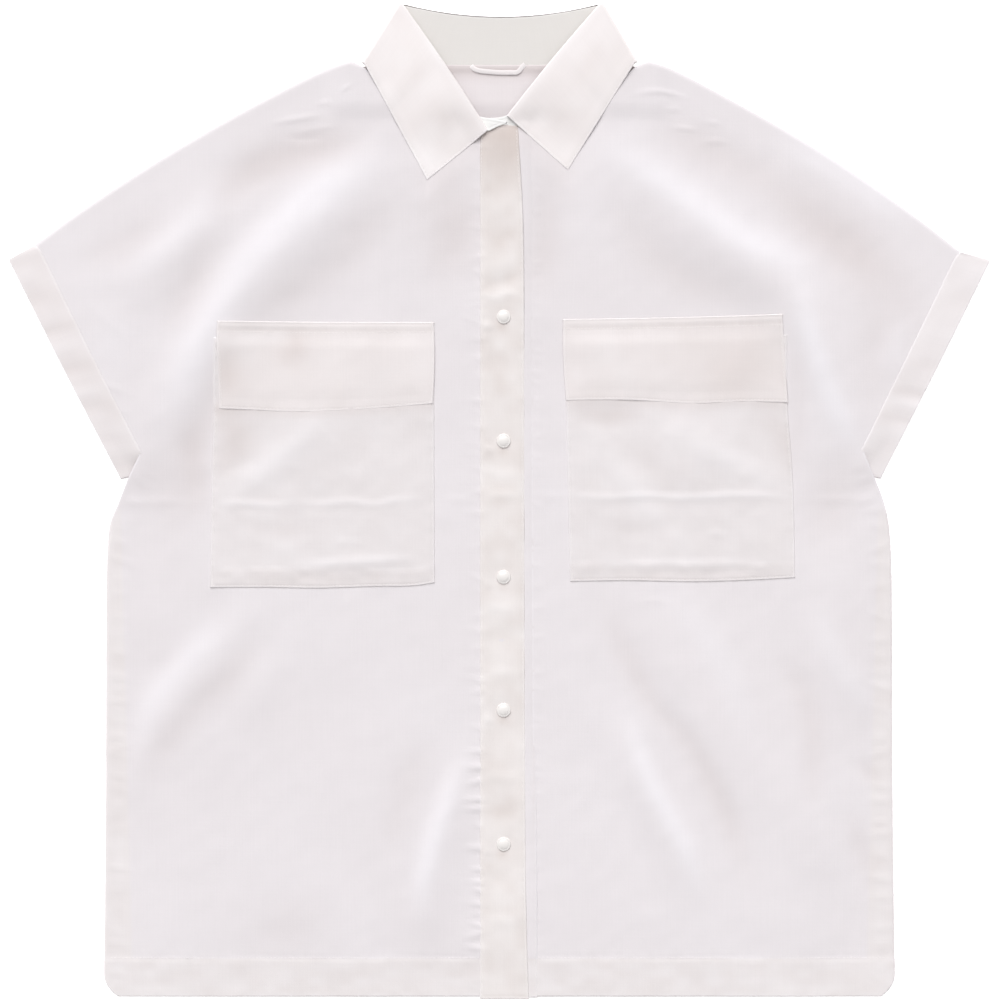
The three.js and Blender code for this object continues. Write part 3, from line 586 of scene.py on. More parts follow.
def front_top(x, y):
    """Upper face of the fronts, with the air under them and their folds."""
    x = np.asarray(x, float)
    y = np.asarray(y, float)
    fold_share = settings().fold_strength
    inside = distance_inside(x, y)
    hem_share = mix(HEM_PUFF, 1.0, smooth(HEM_Y, HEM_Y + HEM_REACH, y))
    lift = PUFF * smooth(0, PUFF_REACH, inside) * hem_share
    lift += fold_share * folds_at(x, y, BODY_FOLDS, 0.3) * smooth(0, FOLD_REACH, inside)
    lift += 1.2 * fold_share * folds_at(x, y, BODY_DETAIL, 0.25) * smooth(0, FOLD_REACH, inside)
    for name in SIDES:
        cap = LEAF_LIFT + LEAF_SLOPE * distance_from_leaf(x, y, name)
        lift = cap - soft_floor(cap - lift)
    uneven = 0.4 * soft_noise(x + 0.5 * y, 0.5 * y - 0.4 * x, 30, 5)
    uneven = uneven + 0.14 * soft_noise(x - 0.5 * y, y, 12, 6)
    lift += uneven * smooth(0, 30, inside)
    lift += 0.7 * fold_share * folds_at(x, y, FINE_CREASES, 0.4) * smooth(0, 8, inside)
    roll = np.clip(inside / SEAM_ROLL_REACH, 0, 1)
    drop = SEAM_ROLL * (1.0 - np.sqrt(1.0 - (1.0 - roll) ** 2))
    return CLOTH_STEP + CLOTH_TOP + neck_rise(x, y) + lift - drop


def front_height(x, y):
    """Height of the fronts' upper face at one place."""
    return float(front_top(np.array([x]), np.array([y]))[0])


def stack_top(x, y):
    """Upper face of the fronts and of the bands between them."""
    band = smooth(-18, -13, x) * (1.0 - smooth(17, 22, x)) * (1.0 - smooth(270, 274, y))
    return front_top(x, y) + band * (PLACKET_RAISE + settings().band_wall / MM / 2)


def soft_floor(value, blend=0.5):
    """The value where it is positive and 0 elsewhere, with a soft bend between them."""
    return 0.5 * (value + np.sqrt(value * value + blend * blend))


def shares_for(length, spacing, edge_lines=EDGE_LINES, count=0):
    """Shares of a length, close together at both ends and evenly spaced between them."""
    near = np.array(edge_lines)
    count = count or max(3, int(round((length - 2 * near[-1]) / spacing)) + 1)
    inner = np.linspace(near[-1], length - near[-1], count)
    return np.concatenate([near[:-1], inner, (length - near[:-1])[::-1]]) / length


def patch(quad, across, down):
    """Grid of places between four edges that meet at the corners, in rows from the top down."""
    top = walk(quad.top, across)
    bottom = walk(quad.bottom, across)
    left = walk(quad.left, down)
    right = walk(quad.right, down)
    u = across[None, :, None]
    v = down[:, None, None]
    ruled = (1 - v) * top[None] + v * bottom[None] + (1 - u) * left[:, None] + u * right[:, None]
    upper = (1 - u) * top[0] + u * top[-1]
    lower = (1 - u) * bottom[0] + u * bottom[-1]
    return ruled - (1 - v) * upper - v * lower


def smooth_quad(quad, steps=6):
    return Quad(*(curve_through(edge, steps) for edge in quad))


def grid_normals(grid, wrap=False):
    """Directions that stand on a grid of points, up where rows run down and columns run right."""
    across = np.gradient(grid, axis=1)
    along = np.roll(grid, -1, 0) - np.roll(grid, 1, 0) if wrap else np.gradient(grid, axis=0)
    normal = np.cross(along, across)
    length = np.linalg.norm(normal, axis=2, keepdims=True)
    return np.where(length > 1e-9, normal / np.maximum(length, 1e-9), [0.0, 0.0, 1.0])


def edge_distance(grid, wrap=False):
    """Distance of each point from the nearest open edge, along the grid's lines."""
    across = np.linalg.norm(np.diff(grid, axis=1), axis=2)
    from_left = np.pad(np.cumsum(across, axis=1), ((0, 0), (1, 0)))
    distance = np.minimum(from_left, from_left[:, -1:] - from_left)
    if not wrap:
        along = np.linalg.norm(np.diff(grid, axis=0), axis=2)
        from_top = np.pad(np.cumsum(along, axis=0), ((1, 0), (0, 0)))
        distance = np.minimum(distance, np.minimum(from_top, from_top[-1:] - from_top))
    return distance


def plan_edge_distance(grid):
    """Distance of each point of a plan grid from its nearest edge."""
    return edge_distance(np.dstack([grid, grid[..., 0] * 0]))


def down_from_top(grid):
    """Length of each column of a grid, from the top row to each of its points."""
    return np.pad(np.cumsum(np.linalg.norm(np.diff(grid, axis=0), axis=2), axis=0), ((1, 0), (0, 0)))


def cloth_lengths(middle, rim):
    """Lengths along a collar piece, measured on one of its rims, and across it."""
    across = np.pad(np.cumsum(np.linalg.norm(np.diff(middle, axis=1), axis=2), axis=1), ((0, 0), (1, 0)))
    steps = np.linalg.norm(np.diff(middle[:, rim], axis=0), axis=1)
    return np.concatenate([[0], np.cumsum(steps)])[:, None] + across * 0, across


def add_mesh(name, points, faces, material, uv=None, tone_and_painted_shade=None):
    """Makes a smooth-shaded mesh object from points in millimetres."""
    mesh = bpy.data.meshes.new(name)
    mesh.from_pydata((np.asarray(points) * MM).tolist(), [], [list(face) for face in faces])
    mesh.polygons.foreach_set("use_smooth", np.ones(len(mesh.polygons), bool))
    if uv is not None:
        layer = mesh.uv_layers.new(name="cloth")
        corners = np.empty(len(mesh.loops), np.int32)
        mesh.loops.foreach_get("vertex_index", corners)
        layer.data.foreach_set("uv", (np.asarray(uv)[corners] * MM).astype(np.float32).ravel())
    if tone_and_painted_shade is not None:
        attribute = mesh.attributes.new("tone_and_painted_shade", "FLOAT", "POINT")
        attribute.data.foreach_set("value", np.asarray(tone_and_painted_shade, np.float32))
    mesh.materials.append(material)
    mesh.update()
    piece = bpy.data.objects.new(name, mesh)
    bpy.context.scene.collection.objects.link(piece)
    return piece


def cloth_shell(name, middle, wall, material, relief=0.0, wrap=False, uv=None, tone_and_painted_shade=None, seated=False):
    """Closed thin shell round a grid of middle points, thinner towards its edges.

    A seated shell has its edges at its underside, so that it lies on what is under it."""
    rows, columns = middle.shape[:2]
    rounding = 2.0 * wall
    inward = edge_distance(middle, wrap)
    share = np.clip(inward / rounding, 0, 1)
    half = wall / 2 * share * (2.0 - share)
    above = 2 * half - wall / 2 if seated else half
    below = np.full(half.shape, wall / 2) if seated else half
    normal = grid_normals(middle, wrap)
    upper = middle + normal * (above + relief * smooth(0, rounding, inward))[..., None]
    lower = middle - normal * below[..., None]
    count = rows * columns
    top = np.arange(count).reshape(rows, columns)
    edge = np.zeros((rows, columns), bool)
    edge[:, [0, -1]] = True
    if not wrap:
        edge[[0, -1], :] = True
    inner = np.cumsum(~edge.ravel()) - 1
    bottom = np.where(edge.ravel(), top.ravel(), count + inner).reshape(rows, columns)
    points = np.vstack([upper.reshape(-1, 3), lower.reshape(-1, 3)[~edge.ravel()]])
    flat = (middle[..., :2] if uv is None else uv).reshape(-1, 2)
    # Painted light and shade of each point: the piece's own, and a painted highlight along its edges
    shade = 0.5 + (0.0 if tone_and_painted_shade is None else tone_and_painted_shade) + painted_edge_highlight(inward)
    shade = np.clip(shade + np.zeros((rows, columns)), -1, 2).ravel()
    hidden = ~edge.ravel()
    faces = np.vstack([quads(top, wrap), quads(bottom, wrap)[:, ::-1]])
    surfaces[name] = upper
    return add_mesh(name, points, faces, material, np.vstack([flat, flat[hidden]]),
                    np.concatenate([shade, shade[hidden]]))


def painted_edge_highlight(inward):
    """Painted highlight: cloth is drawn a little paler along its edges, where the turned-in edge would catch
    the light.
    """
    return 0.32 * bell(inward, 0.6, 0.7)


def sewn_edge(inward, rise=0.12, fold=(7.5, 6.0), groove=0.16):
    """Relief of a turned-in edge, and of the groove along its stitches."""
    return rise * smooth(*fold, inward) - groove * bell(inward, STITCH_INSET, 0.55)


def quads(index, wrap=False):
    """Faces between the points of a grid of indices."""
    if wrap:
        index = np.vstack([index, index[:1]])
    a, b, c, d = index[:-1, :-1], index[1:, :-1], index[1:, 1:], index[:-1, 1:]
    return np.stack([a, b, c, d], axis=-1).reshape(-1, 4)


def plan_area(grid):
    """Area of a grid as seen from above, in square metres."""
    a, b, c, d = grid[:-1, :-1], grid[1:, :-1], grid[1:, 1:], grid[:-1, 1:]
    one = c - a
    two = d - b
    return float(np.abs(one[..., 0] * two[..., 1] - one[..., 1] * two[..., 0]).sum() / 2 * MM * MM)


def on_front(grid, raise_by):
    """Points over a plan grid, so far above the upper face of the fronts."""
    height = front_top(grid[..., 0], grid[..., 1]) + raise_by
    return np.dstack([grid, height])


def settle(piece, slot, *nodes):
    """Puts a piece on the blouse in the place of its CAD nodes."""
    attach(piece, "root")
    if nodes:
        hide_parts(*nodes)


def settings():
    return bpy.context.scene.blouse_cloth


def colours():
    return bpy.context.scene.blouse_colours


class Wire:
    """An output of a shader tree that takes part in maths on values."""

    def __init__(self, shader, socket):
        self.shader = shader
        self.socket = socket

    def maths(self, operation, first, second=0.0):
        return self.shader.node("ShaderNodeMath", {"operation": operation}, {0: first, 1: second})

    def __add__(self, other):
        return self.maths("ADD", self, other)

    __radd__ = __add__

    def __sub__(self, other):
        return self.maths("SUBTRACT", self, other)

    def __rsub__(self, other):
        return self.maths("SUBTRACT", other, self)

    def __mul__(self, other):
        return self.maths("MULTIPLY", self, other)

    __rmul__ = __mul__

    def __truediv__(self, other):
        return self.maths("DIVIDE", self, other)

    def __abs__(self):
        return self.maths("ABSOLUTE", self)

    def sine(self):
        return self.maths("SINE", self)

    def largest(self, other):
        return self.maths("MAXIMUM", self, other)

    def least(self, other):
        return self.maths("MINIMUM", self, other)

    def clamped(self):
        return self.least(1.0).largest(0.0)


class Shader:
    """A material's node tree round one Principled shader."""

    def __init__(self, name):
        self.material = bpy.data.materials.new(name)
        self.material.use_nodes = True
        self.tree = self.material.node_tree
        self.surface = self.tree.nodes["Principled BSDF"]

    def node(self, kind, choices=None, inputs=None, output=0):
        node = self.tree.nodes.new(kind)
        for key, value in (choices or {}).items():
            setattr(node, key, value)
        for key, value in (inputs or {}).items():
            self.feed(node, key, value)
        return Wire(self, node.outputs[output])

    def feed(self, node, key, value):
        if isinstance(value, Wire):
            self.tree.links.new(value.socket, node.inputs[key])
        else:
            node.inputs[key].default_value = value

    def finish(self, **inputs):
        for key, value in inputs.items():
            self.feed(self.surface, key.replace("_", " "), value)
        return self.material

    def uv(self):
        return self.node("ShaderNodeUVMap", {"uv_map": "cloth"})

    def places(self):
        return self.node("ShaderNodeTexCoord", output="Object")

    def parts(self, vector):
        split = self.node("ShaderNodeSeparateXYZ", inputs={0: vector}).socket.node
        return [Wire(self, socket) for socket in split.outputs]

    def noise(self, vector, stretch, detail=2.0, roughness=0.5):
        scaled = self.node("ShaderNodeVectorMath", {"operation": "MULTIPLY"}, {0: vector, 1: stretch})
        values = {"Vector": scaled, "Scale": 1.0, "Detail": detail, "Roughness": roughness}
        return self.node("ShaderNodeTexNoise", inputs=values)

    def blend(self, factor, first, second):
        values = {"Factor": factor, 6: first, 7: second}
        return self.node("ShaderNodeMix", {"data_type": "RGBA"}, values, output=2)


def tinted(colour, gain):
    return (*(channel * gain for channel in colour[:3]), 1.0)


def cloth_material(name, colour, turned_colour=None):
    """Plain-woven cotton: threads over and under, slubs that run with the warp, faint unevenness, and the
    light and shade painted on each point.
    """
    cloth = settings()
    shader = Shader(name)
    uv = shader.uv()
    u, v, _ = shader.parts(uv)
    turn = math.pi / cloth.weave_pitch
    warp_wobble = shader.noise(uv, (260, 1500, 1), 1.0)
    weft_wobble = shader.noise(uv, (1500, 260, 1), 1.0)
    weave = (u * turn + warp_wobble * 1.6).sine() * (v * turn + weft_wobble * 1.6).sine()
    slubs = shader.noise(uv, (900, 22, 1), 2.0)
    cross_slubs = shader.noise(uv, (26, 760, 1), 2.0)
    cloudy = shader.noise(uv, (70, 55, 1), 3.0, 0.6)
    threads = slubs * 0.6 + cross_slubs * 0.4
    tone_and_painted_shade = shader.node("ShaderNodeAttribute", {"attribute_name": "tone_and_painted_shade"}, output="Fac")
    base = (*colour[:3], 1.0)
    if turned_colour is not None:
        base = shader.blend(turned_places(shader), base, (*turned_colour[:3], 1.0))
    depth = cloth.painted_shade_depth
    # Painted light and shade: each point's tone makes the colour paler and cooler where light falls on
    # ridges, and darker and warmer where shade falls in troughs
    shade = (threads - 0.5) * 0.05 + (cloudy - 0.5) * 0.035 + (tone_and_painted_shade - 0.5) * 2.0 * depth + 1.0
    tint = shader.node("ShaderNodeCombineColor", inputs={
        0: shade, 1: shade + (tone_and_painted_shade - 0.5) * 0.5 * depth, 2: shade + (tone_and_painted_shade - 0.5) * 0.8 * depth})
    woven = shader.node("ShaderNodeMix", {"data_type": "RGBA", "blend_type": "MULTIPLY"},
                        {"Factor": 1.0, 6: base, 7: tint}, output=2)
    normal = shader.node("ShaderNodeBump", inputs={
        "Strength": 0.35, "Distance": cloth.weave_depth, "Height": weave * 0.5 + threads * 1.6})
    return shader.finish(Base_Color=woven, Roughness=0.86 + threads * 0.1, Normal=normal,
                         Sheen_Weight=cloth.sheen, Sheen_Roughness=0.5, Specular_IOR_Level=0.25)


def turned_places(shader):
    """1 over the turned-up hem and the seam allowances at the sides, 0 elsewhere."""
    x, y, _ = shader.parts(shader.places())
    hem = (HEM_STITCH_Y * MM - y) / 0.0008
    strip = (abs(x) - y * 0.025 - 0.2715) / 0.0030
    below_arm = (0.0 - y) / 0.012
    return hem.clamped().largest(strip.clamped() * below_arm.clamped())


def button_material():
    """Pale polished shell with a faint cloud in it."""
    shader = Shader("button_shell")
    places = shader.places()
    cloud = shader.noise(places, (420, 260, 420), 3.0, 0.6)
    base = shader.blend(cloud, tinted(colours().button, 0.96), tinted(colours().button, 1.03))
    fine = shader.noise(places, (2600, 2600, 2600), 2.0)
    normal = shader.node("ShaderNodeBump", inputs={"Strength": 0.08, "Distance": 0.0001, "Height": fine})
    return shader.finish(Base_Color=base, Roughness=0.34 + cloud * 0.12, Normal=normal,
                         Coat_Weight=0.2, Coat_Roughness=0.2)


def thread_material():
    """Twisted white sewing thread."""
    shader = Shader("sewing_thread")
    x, y, _ = shader.parts(shader.places())
    twist = ((x + y) * 9000.0).sine() * 0.5 + 0.5
    base = shader.blend(twist, tinted(colours().thread, 0.95), tinted(colours().thread, 1.0))
    normal = shader.node("ShaderNodeBump", inputs={"Strength": 0.4, "Distance": 0.00008, "Height": twist})
    return shader.finish(Base_Color=base, Roughness=0.62 + twist * 0.1, Normal=normal, Sheen_Weight=0.1)


def floor_material(glow):
    shader = Shader("pale_floor")
    grain = shader.noise(shader.places(), (6, 6, 6), 2.0)
    base = shader.blend(grain, (0.93, 0.93, 0.93, 1.0), (0.95, 0.95, 0.95, 1.0))
    return shader.finish(Base_Color=base, Roughness=0.9, Emission_Color=(1.0, 1.0, 1.0, 1.0),
                         Emission_Strength=glow)


class ClothSettings(PropertyGroup):
    """Sizes of the cloth and its sewing."""

    cloth_wall: FloatProperty(name="Cloth thickness", description="One layer of cloth",
                              default=0.00045, min=0.0001, unit="LENGTH")
    band_wall: FloatProperty(name="Band thickness", description="Bands, flaps and collar of doubled cloth",
                             default=0.00045, min=0.0002, unit="LENGTH")
    spacing: FloatProperty(name="Point spacing", description="Distance between the points of the fronts",
                           default=0.0023, min=0.001, unit="LENGTH")
    fold_strength: FloatProperty(name="Fold strength", description="Share of the folds' full height",
                                 default=1.0, min=0.0, max=1.5)
    weave_pitch: FloatProperty(name="Thread spacing", description="Distance between two threads of the weave",
                               default=0.00042, min=0.0002, unit="LENGTH")
    weave_depth: FloatProperty(name="Weave depth", description="Height of the weave's relief",
                               default=0.00012, min=0.0, unit="LENGTH")
    # Strength of the painted light and shade: how much paler the ridges and darker the troughs are painted
    painted_shade_depth: FloatProperty(name="Tone depth", description="How much paler ridges are than troughs",
                              default=0.07, min=0.0, max=0.2)
    sheen: FloatProperty(name="Sheen", description="Soft light from the fibres",
                         default=0.08, min=0.0, max=1.0)
    stitch_pitch: FloatProperty(name="Stitch spacing", description="Distance from one stitch to the next",
                                default=0.0026, min=0.001, unit="LENGTH")
    stitch_length: FloatProperty(name="Stitch length", description="Length of the thread that shows",
                                 default=0.0021, min=0.0005, unit="LENGTH")
    thread_width: FloatProperty(name="Thread width", description="Width of the sewing thread",
                                default=0.00034, min=0.0001, unit="LENGTH")
    stitch_seed: IntProperty(name="Stitch seed", description="Choice of the stitches' small turns",
                             default=7)


def tint(name, description, default):
    return FloatVectorProperty(name=name, description=description, subtype="COLOR", default=default)


class ColourSettings(PropertyGroup):
    """Colours of the cloth, the buttons and the thread."""

    single: tint("Single cloth", "One layer, cool white", (0.765, 0.724, 0.744))
    hem: tint("Turned cloth", "Hem and side seams, where the cloth is doubled", (0.772, 0.728, 0.732))
    band: tint("Bands", "Front bands, warm white", (0.782, 0.733, 0.722))
    pocket: tint("Pockets", "Pockets over the fronts", (0.765, 0.722, 0.730))
    flap: tint("Flaps", "Pocket flaps", (0.782, 0.730, 0.730))
    cuff: tint("Cuffs", "Turned-up cuffs", (0.784, 0.735, 0.740))
    collar: tint("Collar", "Leaf of the collar", (0.850, 0.798, 0.797))
    # Darker than the other cloth, as painted shade inside the collar
    stand: tint("Collar stand", "Inside of the collar", (0.742, 0.712, 0.690))
    inside: tint("Inside back", "Back as seen through the neck", (0.780, 0.725, 0.737))
    button: tint("Buttons", "Polished shell", (0.825, 0.792, 0.775))
    thread: tint("Thread", "Sewing thread", (0.82, 0.785, 0.775))


class StudioSettings(PropertyGroup):
    """Camera, floor and light."""

    camera_height: FloatProperty(name="Camera height", description="Height of the lens over the cloth",
                                 default=2.0, min=0.5, unit="LENGTH")
    frame_width: FloatProperty(name="Frame width", description="Width that the picture takes in",
                               default=0.72, min=0.1, unit="LENGTH")
    key_strength: FloatProperty(name="Key light", description="Strength of the large light at the top",
                                default=2.9, min=0.0)
    key_spread: FloatProperty(name="Key spread", description="Width of the large light, seen from the cloth",
                              default=0.9, min=0.0, subtype="ANGLE")
    fill_strength: FloatProperty(name="Fill light", description="Strength of the light across from it",
                                 default=0.25, min=0.0)
    sky: FloatProperty(name="Sky", description="Brightness of the light from all round",
                       default=0.45, min=0.0)
    floor_glow: FloatProperty(name="Floor glow", description="Light that the floor gives off itself",
                              default=0.6, min=0.0)


class BLOUSE_OT_back(Operator):
    """Back, cut in one with the backs of the sleeves"""

    bl_idname = "blouse.back"
    bl_label = "Back"

    def execute(self, context):
        wall = settings().cloth_wall / MM
        neck = [(-94, 313.4), (94, 313.4)]
        top = np.vstack([curve_through(SHOULDER["left"][:3], 3)[::-1], neck,
                         curve_through(SHOULDER["right"][:3], 3)])
        outer = {name: outer_line(name) for name in SIDES}
        hem = np.array([SIDE[name][-1] for name in SIDES], float)
        quad = Quad(top, hem, outer["left"], outer["right"])
        grid = patch(quad, shares_for(560, 4.4), shares_for(line_length(outer["left"]), 4.4))
        x, y = grid[..., 0], grid[..., 1]
        inside = distance_inside(x, y)
        roll = np.clip(inside / SEAM_ROLL_REACH, 0, 1)
        height = wall / 2 + neck_rise(x, y) + 0.22 * (1.0 - roll) + 0.1 * (1 + soft_noise(x, y, 40, 9)) * roll
        height += 0.25 * smooth(0, 30, inside) * arch((y + 380) / 700)
        height += 0.75 * smooth(306.5, 311.5, y) * (1.0 - smooth(90, 96, np.abs(x)))
        turned = 0.3 * (1.0 - smooth(HEM_STITCH_Y - 0.6, HEM_STITCH_Y + 0.6, y))
        # Painted shade on the back's top, under the collar stand
        piece = cloth_shell("back", np.dstack([grid, height]), wall, materials["inside"], relief=turned,
                            tone_and_painted_shade=-0.75 * smooth(298, 312.5, y))
        settle(piece, "body_cloth", "back")
        plan_area(grid)
        return {"FINISHED"}


def outer_line(name):
    """Outer edge of a front from the shoulder's top to the hem."""
    return np.vstack([shoulder_line(name)[6:], side_line(name)])


def front_grid(name):
    """Plan grid of a front, its rows from the neck down to the hem."""
    spacing = settings().spacing / MM
    shoulder = shoulder_line(name)
    neck = np.vstack([shoulder[:7][::-1], curve_through(NECK[name], 5)[1:]])
    outer = outer_line(name)
    if name == "left":
        centre_x = (PLACKET_SEAM_X + LEFT_UNDERLAP, PLACKET_SEAM_X + LEFT_UNDERLAP)
    else:
        centre_x = (UNDER_BAND_X[1] - RIGHT_OVERLAP, UNDER_BAND_X[2] - RIGHT_OVERLAP)
    centre = np.array([(centre_x[0], NECK[name][-1][1]), (centre_x[1], HEM_Y)], float)
    neck = np.vstack([neck, centre[:1]])
    hem = np.array([outer[-1], centre[-1]], float)
    quad = Quad(neck, hem, outer, centre)
    across = shares_for(280, spacing)
    down = shares_for(line_length(outer), spacing * 1.12)
    grid = patch(quad, across, down)
    return grid if name == "left" else grid[:, ::-1]


class BLOUSE_OT_fronts(Operator):
    """Left and right front, cut in one with the fronts of the sleeves"""

    bl_idname = "blouse.fronts"
    bl_label = "Fronts"

    def execute(self, context):
        wall = settings().cloth_wall / MM
        for name in SIDES:
            grid = front_grid(name)
            x, y = grid[..., 0], grid[..., 1]
            top = front_top(x, y)
            relief = front_relief(name, x, y)
            middle = np.dstack([grid, top - wall / 2])
            piece = cloth_shell(f"front_{name}", middle, wall, materials["single"], relief=relief,
                                tone_and_painted_shade=body_mottle_and_painted_shade(x, y))
            settle(piece, "body_cloth", f"front_{name}")
            plan_area(grid)
        return {"FINISHED"}


def front_relief(name, x, y):
    """Turned hem, seam allowances and the wrinkles that stitches draw in."""
    hem = 1.0 - smooth(HEM_STITCH_Y - 0.8, HEM_STITCH_Y + 0.8, y)
    distance, _, reached = along_line(x, y, side_line(name))
    strip = smooth(20.5, 17.5, distance + 0.025 * y + 3.0 * soft_noise(y, y * 0, 26, 31)) * smooth(8, -12, y)
    relief = 0.35 * hem - 0.25 * bell(y, HEM_STITCH_Y, 1.3) + 0.18 * strip
    relief += puckers_across(x, y - HEM_STITCH_Y, 41, spacing=8, height=0.4, reach=6)
    relief += puckers_across(x, y - HEM_Y - 3, 45, spacing=12, height=0.3, reach=7, width=2.0)
    relief += puckers(reached, distance - 9, 400, 46 if name == "left" else 47, spacing=11, height=0.5,
                      reach=9, width=1.8)
    if name == "left":
        strength = 0.5 + 0.9 * smooth(-150, -200, y) * smooth(-345, -310, y)
        relief += strength * puckers_down(y, x - PLACKET_SEAM_X, 43, spacing=11, height=0.8, reach=9,
                                          width=1.6)
    else:
        relief += puckers_down(y, x - 27.5, 44, spacing=10, height=0.35, reach=4)
    return relief


def body_mottle_and_painted_shade(x, y):
    """Painted highlight on the ridges and painted shade in the troughs and under the collar leaves, with some
    random mottle, from -0.65 to 0.5.
    """
    tone_and_painted_shade = folds_at(x, y, BODY_DETAIL, 0.25) + 0.14 * soft_noise(0.6 * x + 0.3 * y, 0.5 * y, 26, 12)
    tone_and_painted_shade += 0.35 * soft_noise(x, 2 * y, 11, 13) * (1.0 - smooth(HEM_STITCH_Y - 1, HEM_STITCH_Y + 1, y))
    tone_and_painted_shade += 0.3 * soft_noise(x, y, 13, 14) * smooth(262, 274, np.abs(x)) * smooth(40, 0, y)
    # Painted shade under the collar leaves, deepest between them near the middle of the neck
    under_collar = sum(smooth(26, 0, distance_from_leaf(x, y, name)) for name in SIDES)
    between = 0.2 + 0.5 * smooth(62, 40, np.abs(x))
    return 0.5 * np.clip(tone_and_painted_shade - between * np.minimum(under_collar, 1.0), -1.3, 1)


class BLOUSE_OT_bands(Operator):
    """Front bands: the left one with the buttonholes laps over the right one"""

    bl_idname = "blouse.bands"
    bl_label = "Front bands"

    def execute(self, context):
        self.under_band()
        self.upper_band()
        return {"FINISHED"}

    def under_band(self):
        wall = settings().cloth_wall / MM
        free_x, top_x, bottom_x = UNDER_BAND_X
        bottom_y = HEM_Y - 0.6
        corners = [(free_x, PLACKET_TOP_Y), (top_x, PLACKET_TOP_Y), (free_x, bottom_y), (bottom_x, bottom_y)]
        top = [corners[0], (11, PLACKET_TOP_Y), (14, PLACKET_TOP_Y + 5), (top_x, PLACKET_TOP_Y + 5)]
        quad = Quad(top=top, bottom=corners[2:], left=corners[::2], right=[top[-1], corners[-1]])
        grid = patch(quad, shares_for(35, 2.4), shares_for(622, 2.6))
        x, y = grid[..., 0], grid[..., 1]
        sunk = 0.5 * smooth(19, 24, x) * smooth(-280, -150, y)
        relief = puckers_down(y, x - 25.5, 44, spacing=10, height=0.25, reach=4)
        # Painted shade and highlight of the fronts' folds, and a little darker along the band's right edge
        # towards the hem
        tone_and_painted_shade = body_mottle_and_painted_shade(x, y) - 0.2 * smooth(-290, -200, y) * smooth(22, 25, x)
        piece = cloth_shell("under_placket", on_front(grid, wall / 2 - sunk), wall, materials["single"],
                            relief=relief, tone_and_painted_shade=tone_and_painted_shade, seated=True)
        settle(piece, "band_cloth", "under_placket")
        plan_area(grid)

    def upper_band(self):
        wall = settings().band_wall / MM
        edge = curve_through(PLACKET_EDGE, 6)
        quad = Quad(
            top=[(PLACKET_SEAM_X + 1, PLACKET_TOP_Y + 7), edge[0] + (0, 5.5)],
            bottom=[(PLACKET_SEAM_X, PLACKET_BOTTOM_Y), edge[-1]],
            left=[(PLACKET_SEAM_X + 1, PLACKET_TOP_Y + 7), (PLACKET_SEAM_X, PLACKET_TOP_Y - 9),
                  (PLACKET_SEAM_X, PLACKET_BOTTOM_Y)],
            right=np.vstack([edge[:1] + (0, 5.5), edge[1:]]),
        )
        grid = patch(quad, shares_for(32, 1.9), shares_for(628, 2.2))
        x, y = grid[..., 0], grid[..., 1]
        from_seam = x - PLACKET_SEAM_X
        pressed = 0.5 * (1.0 - smooth(0, 3.5, from_seam)) + 0.4 * smooth(262, 268, y)
        pressed += 0.25 * smooth(12, 17, x) * (1.0 - smooth(110, 150, y))
        gape = 0.45 * smooth(4, 18, x) * smooth(132, 160, y) * (1.0 - smooth(240, 262, y))
        folds = folds_at(x, y, PLACKET_FOLDS, 0.3)
        wander = 0.25 * soft_noise(x, y, 20, 51) * smooth(0, 8, from_seam)
        middle = on_front(grid, PLACKET_RAISE - pressed + gape + wander + folds * 0.8)
        relief = sewn_edge(plan_edge_distance(grid))
        relief += puckers_down(y, from_seam - 1.0, 43, spacing=11, height=0.5, reach=4.5)
        relief += puckers_down(y, x - 17.5, 52, spacing=8, height=0.25, reach=4.5)
        # Painted light and shade on the upper band, with some random mottle
        shaded = 0.4 * soft_noise(x, y, 8, 54)
        for button in BUTTONS:
            low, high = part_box(button)
            centre = (low + high) / 2 / MM
            relief -= 0.5 * bell(np.hypot(x - centre.x, y - centre.y), 0, 7.0)
            relief += 0.5 * bell(x, centre.x - 11, 3) * bell(y, centre.y - 6, 1.6)
            # Painted shadow below each button
            shaded -= 1.3 * bell(x, centre.x - 1, 4) * bell(y, centre.y - 7, 3.5)
        # Painted warm shade under the collar, fading down the band, and painted shade and highlight along the
        # band's folds
        shaded += -2.1 * smooth(216, 260, y) - 0.35 * smooth(140, 200, y)
        shaded += 0.8 * folds + 0.4 * soft_noise(x, y, 16, 53)
        piece = cloth_shell("placket", middle, wall, materials["band"], relief=relief,
                            tone_and_painted_shade=0.5 * np.clip(shaded, -3, 1), seated=True)
        settle(piece, "band_cloth", "placket")
        plan_area(grid)


def placket_top(x, y):
    """Upper face of the upper band at a button."""
    return front_height(x, y) + PLACKET_RAISE + settings().band_wall / MM / 2


